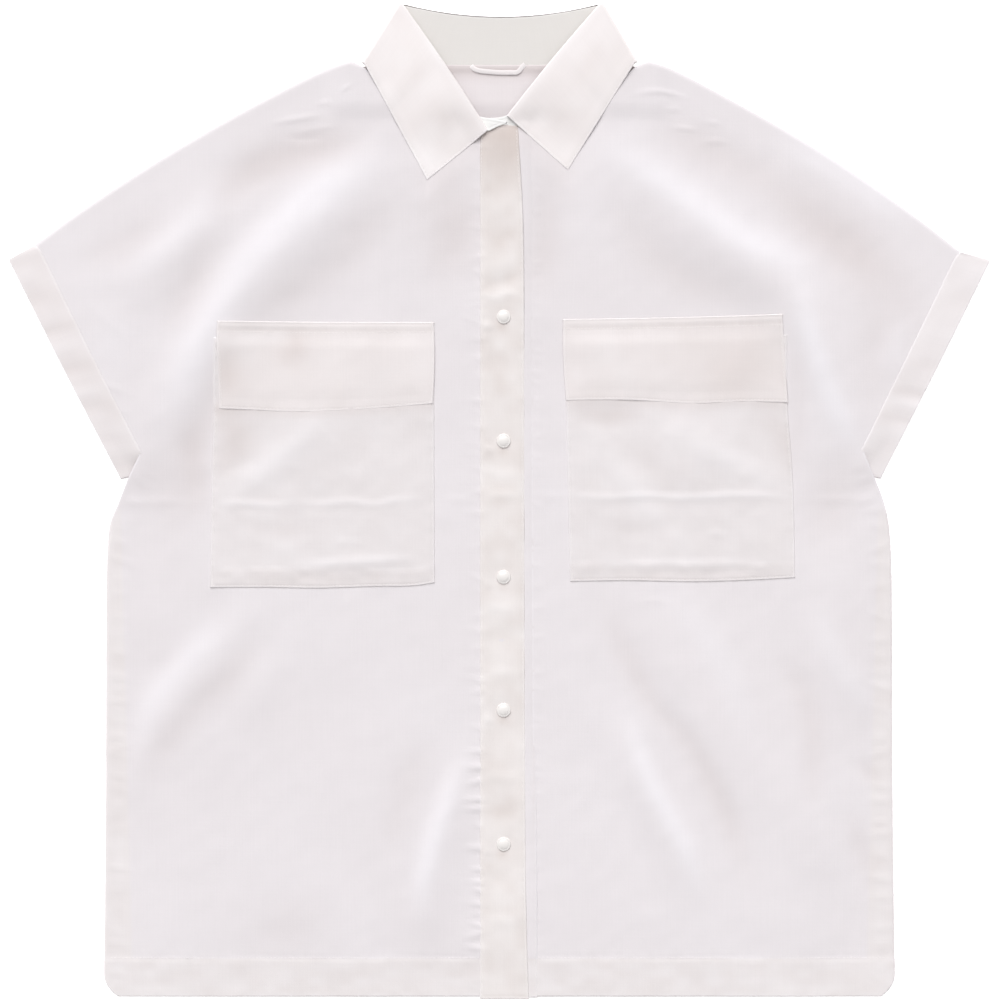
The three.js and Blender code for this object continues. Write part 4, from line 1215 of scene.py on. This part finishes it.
class BLOUSE_OT_pockets(Operator):
    """Two patch pockets, with their edges turned in and stitched down"""

    bl_idname = "blouse.pockets"
    bl_label = "Pockets"

    def execute(self, context):
        wall = settings().cloth_wall / MM
        for name in SIDES:
            grid = patch(smooth_quad(POCKET[name]), shares_for(160, 2.1), shares_for(180, 2.1))
            x, y = grid[..., 0], grid[..., 1]
            inward = plan_edge_distance(grid)
            folds = folds_at(x, y, POCKET_FOLDS[name], 0.3)
            uneven = 0.22 * soft_noise(x, y, 15, 65) + 0.1 * soft_noise(x, y, 6, 66)
            lift = soft_floor(0.35 + folds + uneven, 0.35) * smooth(1, 12, inward)
            bottom_y = POCKET[name].bottom[2][1]
            allowance = 1.0 - smooth(13.0, 15.0, y - bottom_y + 1.6 * soft_noise(x, y, 17, 61))
            relief = 0.2 * np.maximum(allowance, smooth(8.5, 7.5, inward))
            relief -= 0.22 * bell(inward, STITCH_INSET, 0.6)
            relief += 0.35 * allowance * soft_noise(x, y, 7, 62) * smooth(2, 8, inward)
            relief += puckers_across(x, y - bottom_y - 2, 63, spacing=7, height=0.35, reach=5)
            from_side = np.minimum(np.abs(x - grid[:, :1, 0]), np.abs(x - grid[:, -1:, 0]))
            relief += puckers(y + 100, from_side - 2, 300, 64, spacing=8, height=0.3, reach=4)
            # Painted shade and highlight along the pocket's folds and the body's folds, the doubled cloth at
            # the bottom a little darker, and some random mottle
            tone_and_painted_shade = 0.7 * folds - 0.25 * allowance + 0.15 * soft_noise(x, y, 11, 67) + 0.6 * body_mottle_and_painted_shade(x, y)
            # Painted shadow under the flap's lower edge
            below_flap, _, _ = along_line(x, y, curve_through(FLAP[name].bottom))
            tone_and_painted_shade -= 0.8 * bell(below_flap, 0, 4.5)
            piece = cloth_shell(f"pocket_{name}", on_front(grid, POCKET_RAISE + lift), wall,
                                materials["pocket"], relief=relief, tone_and_painted_shade=0.5 * np.clip(tone_and_painted_shade, -2, 1),
                                seated=True)
            settle(piece, "body_cloth", f"pocket_{name}")
            plan_area(grid)
        return {"FINISHED"}


class BLOUSE_OT_flaps(Operator):
    """Pocket flaps of doubled cloth, sewn down along a narrow strip at the top"""

    bl_idname = "blouse.flaps"
    bl_label = "Flaps"

    def execute(self, context):
        wall = settings().band_wall / MM
        for name in SIDES:
            grid = patch(smooth_quad(FLAP[name]), shares_for(156, 2.0), shares_for(62, 1.6))
            x, y = grid[..., 0], grid[..., 1]
            from_top = down_from_top(grid)
            inward = plan_edge_distance(grid)
            hang = smooth(7.5, 20, from_top)
            folds = folds_at(x, y, FLAP_FOLDS[name], 0.3)
            bulge = 0.7 * smooth(0, 18, inward) + 0.5 * np.clip(folds, -0.3, 1.0)
            level = mix(0.45, FLAP_RAISE, hang) + bulge * hang * smooth(0, 10, inward)
            middle = on_front(grid, level + 0.3 * soft_noise(x, y, 24, 71) * hang)
            relief = sewn_edge(inward) - 0.4 * bell(from_top, 6.5, 0.8)
            relief += puckers_across(x, from_top - 7, 72, spacing=9, height=0.3, reach=5)
            relief += puckers_across(x, inward - 2, 73, spacing=10, height=0.2, reach=4)
            # Painted shade and highlight along the flap's folds and the body's folds, painted shade in the
            # stitched groove of the top strip, and some random mottle
            tone_and_painted_shade = 0.9 * folds - 0.4 * bell(from_top, 6.5, 1.0) + 0.2 * soft_noise(x, y, 13, 74)
            tone_and_painted_shade += 0.4 * body_mottle_and_painted_shade(x, y)
            piece = cloth_shell(f"flap_{name}", middle, wall, materials["flap"], relief=relief,
                                tone_and_painted_shade=0.5 * np.clip(tone_and_painted_shade, -2, 1), seated=True)
            settle(piece, "band_cloth", f"flap_{name}")
            plan_area(grid)
        return {"FINISHED"}


def cuff_point(edge, share):
    """Places on a cuff's edge whose points carry their share of its length."""
    shares = [row.share for row in edge]
    return np.stack([np.interp(share, shares, [row.x for row in edge]),
                     np.interp(share, shares, [row.y for row in edge])], axis=-1)


class BLOUSE_OT_cuffs(Operator):
    """Turned-up cuffs, each a flattened tube of doubled cloth"""

    bl_idname = "blouse.cuffs"
    bl_label = "Cuffs"

    def execute(self, context):
        wall = settings().band_wall / MM
        for name in SIDES:
            share, angle = self.stations()
            turn = mix(CUFF_TURN["ends"], CUFF_TURN["middle"], arch(share))
            length = math.dist(cuff_point(CUFF_OPEN[name], 0), cuff_point(CUFF_OPEN[name], 1))
            inset = (turn + wall / 2) / length
            reach = mix(inset, 1 - inset, share) + turn * np.cos(angle) / length
            across = shares_for(CUFF_WIDTH, 1.4)
            seam = cuff_point(CUFF_SEAM[name], reach)[:, None]
            open_edge = cuff_point(CUFF_OPEN[name], reach)[:, None]
            plan = mix(seam, open_edge, across[None, :, None])
            along = np.cumsum(np.concatenate([[0], np.linalg.norm(np.diff(plan[:, 0], axis=0), axis=1)]))
            wave = 0.22 * soft_noise(along[:, None], across[None] * CUFF_WIDTH, 15, 81)
            crease = sum(0.07 * rise * bell(share, place, width) for place, width, rise in CUFF_CREASES[name])
            crease = crease[:, None] * (0.6 + 0.4 * across[None])
            height = wall / 2 + turn * (1 + np.sin(angle))
            over = smooth(0.0, 1.0, np.sin(angle))[:, None]
            tucked = over * smooth(0.0, 0.02, share)[:, None]
            lap = tucked * (1.0 - smooth(0.9, 0.97, share))[:, None]
            inward_way = (seam - open_edge) / np.linalg.norm(seam - open_edge, axis=2, keepdims=True)
            plan = plan + inward_way * (2.0 * tucked * (1.0 - across[None, :]) ** 2)[..., None]
            bulge = wave + 0.8 * crease * smooth(0, 0.3, across) - 0.5 * (across - 0.5) ** 2
            height = height[:, None] + over * (0.3 + bulge)
            resting = front_top(plan[..., 0], plan[..., 1]) + wall / 2
            near_seam = lap * (1.0 - smooth(0.0, 0.75, across))[None, :]
            height = mix(height, resting, near_seam)
            middle = np.dstack([plan, height])
            uv = np.dstack(np.broadcast_arrays(along[:, None], across[None] * CUFF_WIDTH))
            # Painted shade and highlight on the upper layer along its cross creases and waves, and the right
            # cuff painted a little paler overall
            tone_and_painted_shade = over * (0.9 * crease + wave + (0.3 if name == "right" else 0.0))
            if name == "right":
                middle, uv, tone_and_painted_shade = middle[:, ::-1], uv[:, ::-1], tone_and_painted_shade[:, ::-1]
            inward = edge_distance(middle, wrap=True)
            relief = sewn_edge(inward, 0.1, (6.5, 5.5), 0.18)
            piece = cloth_shell(f"cuff_{name}", middle, wall, materials["cuff"], relief=relief, wrap=True,
                                uv=uv, tone_and_painted_shade=0.5 * np.clip(tone_and_painted_shade, -1, 1))
            settle(piece, "band_cloth", f"cuff_{name}")
            math.prod(CUT["cuff"])
        return {"FINISHED"}

    def stations(self):
        """Share along the cuff and angle round it, over the front, round, over the back and round."""
        there = np.linspace(0, 1, CUFF_LENGTH_STEPS)
        quarter = math.pi / 2
        turning = np.linspace(0, math.pi, CUFF_TURN_STEPS + 1)[1:-1]
        share = np.concatenate([there, np.ones(len(turning)), there[::-1], np.zeros(len(turning))])
        angle = np.concatenate([np.full(CUFF_LENGTH_STEPS, quarter), quarter - turning,
                                np.full(CUFF_LENGTH_STEPS, -quarter), -quarter - turning])
        return share, angle


def crease_of(leaf, sign):
    """Fold and edge of a leaf at the side of the neck, set in from its outline by the turn."""
    fold = np.array(leaf.fold, float)
    edge = np.array(leaf.edge, float)
    along = (edge - fold) / np.linalg.norm(edge - fold)
    away = np.array([along[1], -along[0]]) * -sign
    inset = away * -(LEAF_TURN + LEAF_HALF)
    return fold + inset, edge + inset, away


def placed(fold, toward, away, turn, line):
    """Section points (along, out) of a collar station as places."""
    along = (toward - fold) / np.linalg.norm(toward - fold)
    plan = fold + along * line[:, :1] + away * math.cos(turn) * line[:, 1:]
    return np.column_stack([plan, COLLAR_AXIS + math.sin(turn) * line[:, 1]])


def leaf_section(width, fold_out, edge_out, roll, rest, share_up):
    """Middle of the leaf from inside the fold, over it and down to the edge.

    Where rest is given, the leaf lies on that line of heights, less so as share_up grows."""
    bend = LEAF_BEND
    angles = np.radians([0, 18, 36, 54, 72, 90])
    lip = [(0.25, fold_out - 2.0), (0.08, fold_out - 1.6)]
    turn = [(bend - bend * math.cos(a), fold_out - bend + bend * math.sin(a)) for a in angles]
    across = shares_for(width - bend, 2.0, count=24)[3:]
    out = mix(fold_out, edge_out, across) + roll * np.sin(np.pi * across ** 0.8)
    if rest is not None:
        resting = mix(fold_out, rest(across), smooth(0, 0.3, across))
        out = mix(np.maximum(resting, rest(across)), out, share_up)
    near_edge = np.column_stack([bend + (width - bend) * across, out])
    return np.vstack([lip, turn, near_edge])


def fold_height(share):
    """Height of the leaf's fold over the collar's axis, from a front corner to the side of the neck."""
    return mix(LEAF_RISE["corner"], LEAF_TURN, share) + LEAF_RISE["fold"] * math.sin(math.pi * share)


def fold_bow(away, share):
    """Shift of the leaf's fold, which bows between a front corner and the side of the neck."""
    return away * FOLD_BOW * -math.sin(math.pi * share)


def collar_stations():
    """Fold, edge and turn of the leaf from one front corner round the neck to the other."""
    sides = []
    for name, sign in zip(SIDES, (-1, 1)):
        leaf = LEAF[name]
        fold, edge, away = crease_of(leaf, sign)
        stations = []
        for share in shares_for(LEAF_STEPS["front"] * 2.0, 2.0)[:-1]:
            edge_here = mix(np.array(leaf.point), edge, share)
            lying = front_height(*edge_here) + LEAF_OVER_CLOTH - COLLAR_AXIS
            stations.append(dict(
                fold=mix(np.array(leaf.corner), fold, share) + fold_bow(away, share), edge=edge_here,
                away=away, turn=math.pi / 2, share=share, fold_out=fold_height(share),
                edge_out=max(lying, mix(LEAF_RISE["point"], LEAF_TURN, share ** 3)),
                roll=LEAF_RISE["roll"] * (1 - share * share)))
        for step in range(LEAF_STEPS["crease"] + 1):
            turn = mix(math.pi / 2, -math.pi / 2, step / LEAF_STEPS["crease"])
            stations.append(dict(fold=fold, edge=edge, away=away, turn=turn, share=1.0,
                                 fold_out=LEAF_TURN, edge_out=LEAF_TURN, roll=0.0))
        sides.append(stations)
    left, right = sides
    back = []
    for step in range(1, LEAF_STEPS["back"]):
        share = step / LEAF_STEPS["back"]
        off = (2 * share - 1) ** 2
        fold = mix(left[-1]["fold"], right[-1]["fold"], share)
        edge = mix(left[-1]["edge"], right[-1]["edge"], share)
        back.append(dict(left[-1], fold=np.array([fold[0], BACK_FOLD[0] + BACK_FOLD[1] * off]),
                         edge=np.array([edge[0], BACK_EDGE[0] + BACK_EDGE[1] * off])))
    return left + back + right[::-1]


class BLOUSE_OT_collar(Operator):
    """Collar: a stand round the neck and a leaf that folds down over it"""

    bl_idname = "blouse.collar"
    bl_label = "Collar"

    def execute(self, context):
        self.leaf()
        self.stand()
        return {"FINISHED"}

    def leaf(self):
        wall = settings().band_wall / MM
        rows = []
        for s in collar_stations():
            width = float(np.linalg.norm(s["edge"] - s["fold"]))
            line = leaf_section(width, s["fold_out"], s["edge_out"], s["roll"], self.resting(s),
                                smooth(0, LEAF_REST_SHARE, s["share"]))
            rows.append(placed(s["fold"], s["edge"], s["away"], s["turn"], line))
        middle = np.array(rows)
        along, across = cloth_lengths(middle, -1)
        front = middle[..., 2] > LEAF_FRONT_HEIGHT
        middle[..., 2] += 0.18 * soft_noise(middle[..., 0], middle[..., 1], 19, 91) * front
        inward = edge_distance(middle)
        from_edge = across[:, -1:] - across
        groove = bell(inward, STITCH_INSET, 0.6) * smooth(6, 9, across)
        relief = 0.14 * smooth(7.5, 6.0, from_edge) - 0.12 * groove
        # Painted light and shade on the leaf's upper layer, a painted highlight along its rolled fold, and
        # some random mottle
        tone_and_painted_shade = folds_at(middle[..., 0], middle[..., 1], LEAF_PAINTED_LIGHT_AND_SHADE, 0.3) * front
        tone_and_painted_shade += 0.3 * soft_noise(along, across, 12, 92) + 0.35 * bell(across, 3.5, 2.0)
        piece = cloth_shell("collar_leaf", middle, wall, materials["collar"], relief=relief,
                            uv=np.dstack([along, across]), tone_and_painted_shade=0.5 * np.clip(tone_and_painted_shade, -1, 2))
        settle(piece, "band_cloth", "collar_leaf")
        min(float(surface_area(middle)), math.prod(CUT["collar_leaf"]))

    def resting(self, station):
        """Heights at which the leaf's front edge lies on the cloth under it."""
        if station["share"] >= LEAF_REST_SHARE:
            return None

        def rest(across):
            plan = mix(station["fold"][None], station["edge"][None], across[:, None])
            return stack_top(plan[:, 0], plan[:, 1]) + LEAF_OVER_CLOTH - COLLAR_AXIS
        return rest

    def stand(self):
        wall = settings().band_wall / MM * 0.9
        keys = stand_rows()
        middle = np.stack([curve_through(keys[:, k], 5) for k in range(keys.shape[1])], axis=1)
        middle = widened(middle, 1.9)
        along, across = cloth_lengths(middle, 0)
        relief = -0.14 * bell(edge_distance(middle), 2.2, 0.6)
        # The stand's ends, which show in the light, are painted paler against its painted shade
        from_end = np.minimum(along, along[-1:] - along)
        piece = cloth_shell("collar_stand", middle, wall, materials["stand"], relief=relief,
                            uv=np.dstack([along, across]), tone_and_painted_shade=1.1 * smooth(42, 24, from_end))
        settle(piece, "band_cloth", "collar_stand")
        min(float(surface_area(middle)), math.prod(CUT["collar_stand"]))


def surface_area(grid):
    """Area of a grid in space, in square metres."""
    a, b, c, d = grid[:-1, :-1], grid[1:, :-1], grid[1:, 1:], grid[:-1, 1:]
    return np.linalg.norm(np.cross(c - a, d - b), axis=2).sum() / 2 * MM * MM


def widened(grid, spacing):
    """The grid with each row resampled to the same number of points, closer at both ends."""
    width = np.mean([line_length(row) for row in grid])
    shares = shares_for(width, spacing)
    return np.stack([walk(curve_through(row, 4), shares) for row in grid])


def stand_rows():
    """Key sections of the stand, from its left end round the neck to its right end."""
    shares = np.array([0.0, 0.33, 0.66, 1.0])

    def section(top, seam, away, turn, top_out, seam_out, start):
        top = np.array(top, float)
        seam = np.array(seam, float)
        width = np.linalg.norm(seam - top)
        line = np.column_stack([mix(start, width, shares), mix(top_out, seam_out, shares)])
        return placed(top, seam, away, turn, line)

    sides = []
    for name, sign in zip(SIDES, (-1, 1)):
        leaf = LEAF[name]
        fold, _, away = crease_of(leaf, sign)
        rows = []
        for end in STAND_END[name]:
            rows.append(section(end.top, end.seam, away, math.pi / 2, end.top_rise, end.seam_rise, 0.1))
        for row in STAND_SEAM[name]:
            seam_out = front_height(row.x, row.y) - 0.3 - COLLAR_AXIS
            top_out = fold_height(row.share) - (LEAF_TURN - STAND_TURN) - row.sink
            top = mix(np.array(leaf.corner), fold, row.share) + fold_bow(away, row.share)
            rows.append(section(top, (row.x, row.y), away, math.pi / 2, top_out, seam_out, 2.2))
        for degrees in (90, 60, 30, 0, -30, -60, -90):
            turn = math.radians(degrees)
            rows.append(section(fold, leaf.seam_end, away, turn, STAND_TURN, STAND_TURN, 0.5))
        sides.append((rows, fold, away))
    (left, left_fold, left_away), (right, right_fold, _) = sides
    back = []
    for share in np.linspace(0, 1, 12)[1:-1]:
        top = mix(left_fold, right_fold, share)
        top[1] = BACK_FOLD[0] + BACK_FOLD[1] * (2 * share - 1) ** 2
        seam = mix(np.array(LEAF["left"].seam_end), np.array(LEAF["right"].seam_end), share)
        back.append(section(top, seam, left_away, -math.pi / 2, STAND_TURN, STAND_TURN, 0.5))
    return np.array(left + back + right[::-1])


class BLOUSE_OT_loop(Operator):
    """Hanging loop, a narrow tape inside the back of the neck"""

    bl_idname = "blouse.loop"
    bl_label = "Hanging loop"

    def execute(self, context):
        path = curve_through(LOOP_PATH, 6)
        ways = np.gradient(path, axis=0)
        ways /= np.linalg.norm(ways, axis=1, keepdims=True)
        down = np.column_stack([ways[:, 1], -ways[:, 0]])
        across = shares_for(LOOP_WIDTH, 0.7, (0.0, 0.1, 0.3, 0.6))
        plan = path[:, None] + down[:, None] * (across[None, :, None] * LOOP_WIDTH - LOOP_WIDTH / 2)
        height = 3.5 - 0.5 * across[None, :] + path[:, :1] * 0
        middle = np.dstack([plan, height])
        piece = cloth_shell("hanger_loop", middle, 0.5, materials["tape"])
        settle(piece, "loop_tape", "hanger_loop")
        length = line_length(path) * MM
        return {"FINISHED"}


class BLOUSE_OT_buttons(Operator):
    """Five domed buttons on the upper band"""

    bl_idname = "blouse.buttons"
    bl_label = "Buttons"

    def execute(self, context):
        for name in BUTTONS:
            low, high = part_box(name)
            centre = (low + high) / 2 / MM
            radius = (high.x - low.x) / 2 / MM
            rise = (high.z - low.z) / MM
            base = placket_top(centre.x, centre.y) - 1.0
            piece = add_mesh(name, *self.turned(centre, radius, base, rise), materials["button"])
            settle(piece, "button", name)
        return {"FINISHED"}

    def turned(self, centre, radius, base, rise):
        """Lathe-turned button: flat back, rounded rim, a fine groove and a low dome."""
        turns = BUTTON_TURNS
        angles = np.arange(turns) * 2 * math.pi / turns
        rings = BUTTON_PROFILE[1:-1]
        points = [(centre.x, centre.y, base)]
        for share, height in rings:
            for angle in angles:
                points.append((centre.x + radius * share * math.cos(angle),
                               centre.y + radius * share * math.sin(angle), base + rise * height))
        points.append((centre.x, centre.y, base + rise))
        faces = []
        for ring in range(len(rings) - 1):
            for k in range(turns):
                a = 1 + ring * turns + k
                b = 1 + ring * turns + (k + 1) % turns
                faces.append((a, b, b + turns, a + turns))
        last = 1 + (len(rings) - 1) * turns
        caps = [(0, 1 + (k + 1) % turns, 1 + k) for k in range(turns)]
        caps += [(last + k, last + (k + 1) % turns, len(points) - 1) for k in range(turns)]
        return points, np.array(faces + caps, dtype=object)


class BLOUSE_OT_stitching(Operator):
    """Rows of stitches along the hem, bands, pockets, flaps, cuffs and collar"""

    bl_idname = "blouse.stitching"
    bl_label = "Stitching"

    def execute(self, context):
        lines = bpy.data.meshes.new("sewn_lines")
        points = []
        edges = []
        for line in self.lines():
            first = len(points)
            points.extend((np.asarray(line) * MM).tolist())
            edges.extend((first + k, first + k + 1) for k in range(len(line) - 1))
        lines.from_pydata(points, edges, [])
        source = bpy.data.objects.new("stitching_source", lines)
        context.scene.collection.objects.link(source)
        sewn = source.modifiers.new("stitches", "NODES")
        sewn.node_group = stitch_tree()
        cloth = settings()
        values = {"Spacing": cloth.stitch_pitch, "Length": cloth.stitch_length, "Width": cloth.thread_width,
                  "Seed": cloth.stitch_seed, "Material": materials["thread"]}
        for item in sewn.node_group.interface.items_tree:
            if item.item_type == "SOCKET" and item.in_out == "INPUT" and item.name in values:
                sewn[item.identifier] = values[item.name]
        context.view_layer.update()
        evaluated = source.evaluated_get(context.evaluated_depsgraph_get())
        mesh = bpy.data.meshes.new_from_object(evaluated)
        source.modifiers.clear()
        bpy.data.objects.remove(source)
        mesh.name = "stitching"
        piece = bpy.data.objects.new("stitching", mesh)
        context.scene.collection.objects.link(piece)
        settle(piece, "body_cloth")
        return {"FINISHED"}

    def lines(self):
        """Lines of sewing on the pieces' upper faces."""
        for name in SIDES:
            x = np.arange(2.0, 280.0, 1.5) * (-1 if name == "left" else 1)
            x = x[np.abs(x) > (14 if name == "left" else 28)]
            y = np.full(x.shape, HEM_STITCH_Y)
            yield np.column_stack([x, y, front_top(x, y) + front_relief(name, x, y) + 0.05])
            flap = surfaces[f"flap_{name}"]
            for sewn in (surfaces[f"pocket_{name}"], flap):
                yield np.vstack([sewn[2:-5, 5], sewn[-6, 5:-5], sewn[2:-5, -6][::-1]])
            yield flap[3, 2:-2]
            yield flap[10, 2:-2]
            cuff = surfaces[f"cuff_{name}"]
            yield cuff[1:CUFF_LENGTH_STEPS - 1, 5 if name == "left" else -6]
        placket = surfaces["placket"]
        yield placket[8:-2, 4]
        yield placket[8:-2, -6]
        under = surfaces["under_placket"]
        yield under[-45:-2, -5]
        leaf = surfaces["collar_leaf"]
        yield np.vstack([leaf[5, 12:-5], leaf[6:-6, -6], leaf[-6, 12:-5][::-1]])
        stand = surfaces["collar_stand"]
        yield stand[30:-30, -6]


def stitch_tree():
    """Node tree that lays a small rounded stitch at even steps along each edge line."""
    tree = bpy.data.node_groups.new("stitch_tree", "GeometryNodeTree")
    inputs = {"Geometry": "NodeSocketGeometry", "Spacing": "NodeSocketFloat", "Length": "NodeSocketFloat",
              "Width": "NodeSocketFloat", "Seed": "NodeSocketInt", "Material": "NodeSocketMaterial"}
    for label, kind in inputs.items():
        tree.interface.new_socket(label, in_out="INPUT", socket_type=kind)
    tree.interface.new_socket("Geometry", in_out="OUTPUT", socket_type="NodeSocketGeometry")

    def node(kind, wires, **choices):
        made = tree.nodes.new(kind)
        for key, value in choices.items():
            setattr(made, key, value)
        for key, wire in wires.items():
            if isinstance(wire, bpy.types.NodeSocket):
                tree.links.new(wire, made.inputs[key])
            else:
                made.inputs[key].default_value = wire
        return made.outputs

    given = tree.nodes.new("NodeGroupInput").outputs
    curve = node("GeometryNodeMeshToCurve", {"Mesh": given["Geometry"]})
    even = node("GeometryNodeResampleCurve", {"Curve": curve["Curve"], "Length": given["Spacing"]},
                mode="LENGTH")
    ball = node("GeometryNodeMeshUVSphere", {"Segments": 6, "Rings": 5, "Radius": 0.5})
    size = node("ShaderNodeCombineXYZ", {"X": given["Length"], "Y": given["Width"], "Z": given["Width"]})
    stitch = node("GeometryNodeTransform", {"Geometry": ball["Mesh"], "Scale": size["Vector"]})
    way = node("GeometryNodeInputTangent", {})
    facing = node("FunctionNodeAlignRotationToVector", {"Vector": way["Tangent"]}, axis="X")
    drift = node("FunctionNodeRandomValue",
                 {"Min": (0, 0, -0.08), "Max": (0, 0, 0.08), "Seed": given["Seed"]}, data_type="FLOAT_VECTOR")
    turned = node("FunctionNodeRotateRotation", {0: facing["Rotation"], 1: drift["Value"]})
    placed_ones = node("GeometryNodeInstanceOnPoints", {
        "Points": even["Curve"], "Instance": stitch["Geometry"], "Rotation": turned["Rotation"]})
    real = node("GeometryNodeRealizeInstances", {"Geometry": placed_ones["Instances"]})
    dressed = node("GeometryNodeSetMaterial", {"Geometry": real["Geometry"], "Material": given["Material"]})
    result = tree.nodes.new("NodeGroupOutput")
    tree.links.new(dressed["Geometry"], result.inputs["Geometry"])
    return tree


class BLOUSE_OT_stage(Operator):
    """Pale floor, soft light and the camera straight above"""

    bl_idname = "blouse.stage"
    bl_label = "Stage"

    def execute(self, context):
        studio = context.scene.blouse_studio
        self.floor(studio)
        self.camera(context, studio)
        self.lights(context, studio)
        context.scene.view_settings.view_transform = "Standard"
        return {"FINISHED"}

    def floor(self, studio):
        corners = [(-1, -1), (1, -1), (1, 1), (-1, 1)]
        points = [(x * FLOOR_HALF, y * FLOOR_HALF, FLOOR_LEVEL) for x, y in corners]
        floor = add_mesh("floor", points, np.array([[0, 1, 2, 3]]), floor_material(studio.floor_glow))

    def camera(self, context, studio):
        data = bpy.data.cameras.new("camera")
        data.sensor_width = SENSOR_WIDTH
        data.lens = data.sensor_width * studio.camera_height / studio.frame_width
        data.clip_end = 20.0
        camera = bpy.data.objects.new("camera", data)
        camera.location = (CAMERA_SHIFT, 0.0, studio.camera_height + CAMERA_OVER_FLOOR)
        context.scene.collection.objects.link(camera)
        context.scene.camera = camera

    def lights(self, context, studio):
        for name, spread, strength in (("key", studio.key_spread, studio.key_strength),
                                       ("fill", FILL_SPREAD, studio.fill_strength)):
            data = bpy.data.lights.new(name, "SUN")
            data.angle = spread
            data.energy = strength
            light = bpy.data.objects.new(name, data)
            light.location = LIGHT_PLACE[name]
            light.rotation_euler = (-light.location).to_track_quat("-Z", "Y").to_euler()
            context.scene.collection.objects.link(light)
        world = bpy.data.worlds.new("soft_room")
        world.use_nodes = True
        background = world.node_tree.nodes["Background"]
        background.inputs["Color"].default_value = (1.0, 1.0, 1.0, 1.0)
        background.inputs["Strength"].default_value = studio.sky
        context.scene.world = world


class BLOUSE_PT_panel(Panel):
    """The blouse's pieces, in the order in which they are made"""

    bl_idname = "BLOUSE_PT_panel"
    bl_label = "Blouse"
    bl_space_type = "VIEW_3D"
    bl_region_type = "UI"
    bl_category = "Blouse"

    def draw(self, context):
        for group in ("blouse_cloth", "blouse_colours", "blouse_studio"):
            values = getattr(context.scene, group)
            for key in values.__annotations__:
                self.layout.prop(values, key)
        for operator in OPERATORS:
            self.layout.operator(operator.bl_idname)


OPERATORS = (
    BLOUSE_OT_back, BLOUSE_OT_fronts, BLOUSE_OT_bands, BLOUSE_OT_pockets, BLOUSE_OT_flaps,
    BLOUSE_OT_cuffs, BLOUSE_OT_collar, BLOUSE_OT_loop, BLOUSE_OT_buttons, BLOUSE_OT_stitching,
    BLOUSE_OT_stage,
)
GROUPS = {"blouse_cloth": ClothSettings, "blouse_colours": ColourSettings, "blouse_studio": StudioSettings}

# Filled as the pieces are made: materials by their use, and upper faces for the rows of stitches
materials = {}
surfaces = {}


def make_materials():
    tints = colours()
    materials["single"] = cloth_material("single_cloth", tints.single, tints.hem)
    for name in ("inside", "band", "pocket", "flap", "cuff", "collar", "stand"):
        materials[name] = cloth_material(f"{name}_cloth", getattr(tints, name))
    materials["tape"] = cloth_material("tape_cloth", tints.collar)
    materials["button"] = button_material()
    materials["thread"] = thread_material()


def register():
    for kind in (*GROUPS.values(), *OPERATORS, BLOUSE_PT_panel):
        bpy.utils.register_class(kind)
    for name, group in GROUPS.items():
        setattr(bpy.types.Scene, name, PointerProperty(type=group))


def unregister():
    for name in GROUPS:
        delattr(bpy.types.Scene, name)
    for kind in reversed((*GROUPS.values(), *OPERATORS, BLOUSE_PT_panel)):
        bpy.utils.unregister_class(kind)


def main():
    register()
    make_materials()
    for operator in OPERATORS:
        group, name = operator.bl_idname.split(".")
        getattr(getattr(bpy.ops, group), name)()


if __name__ == "__main__":
    main()
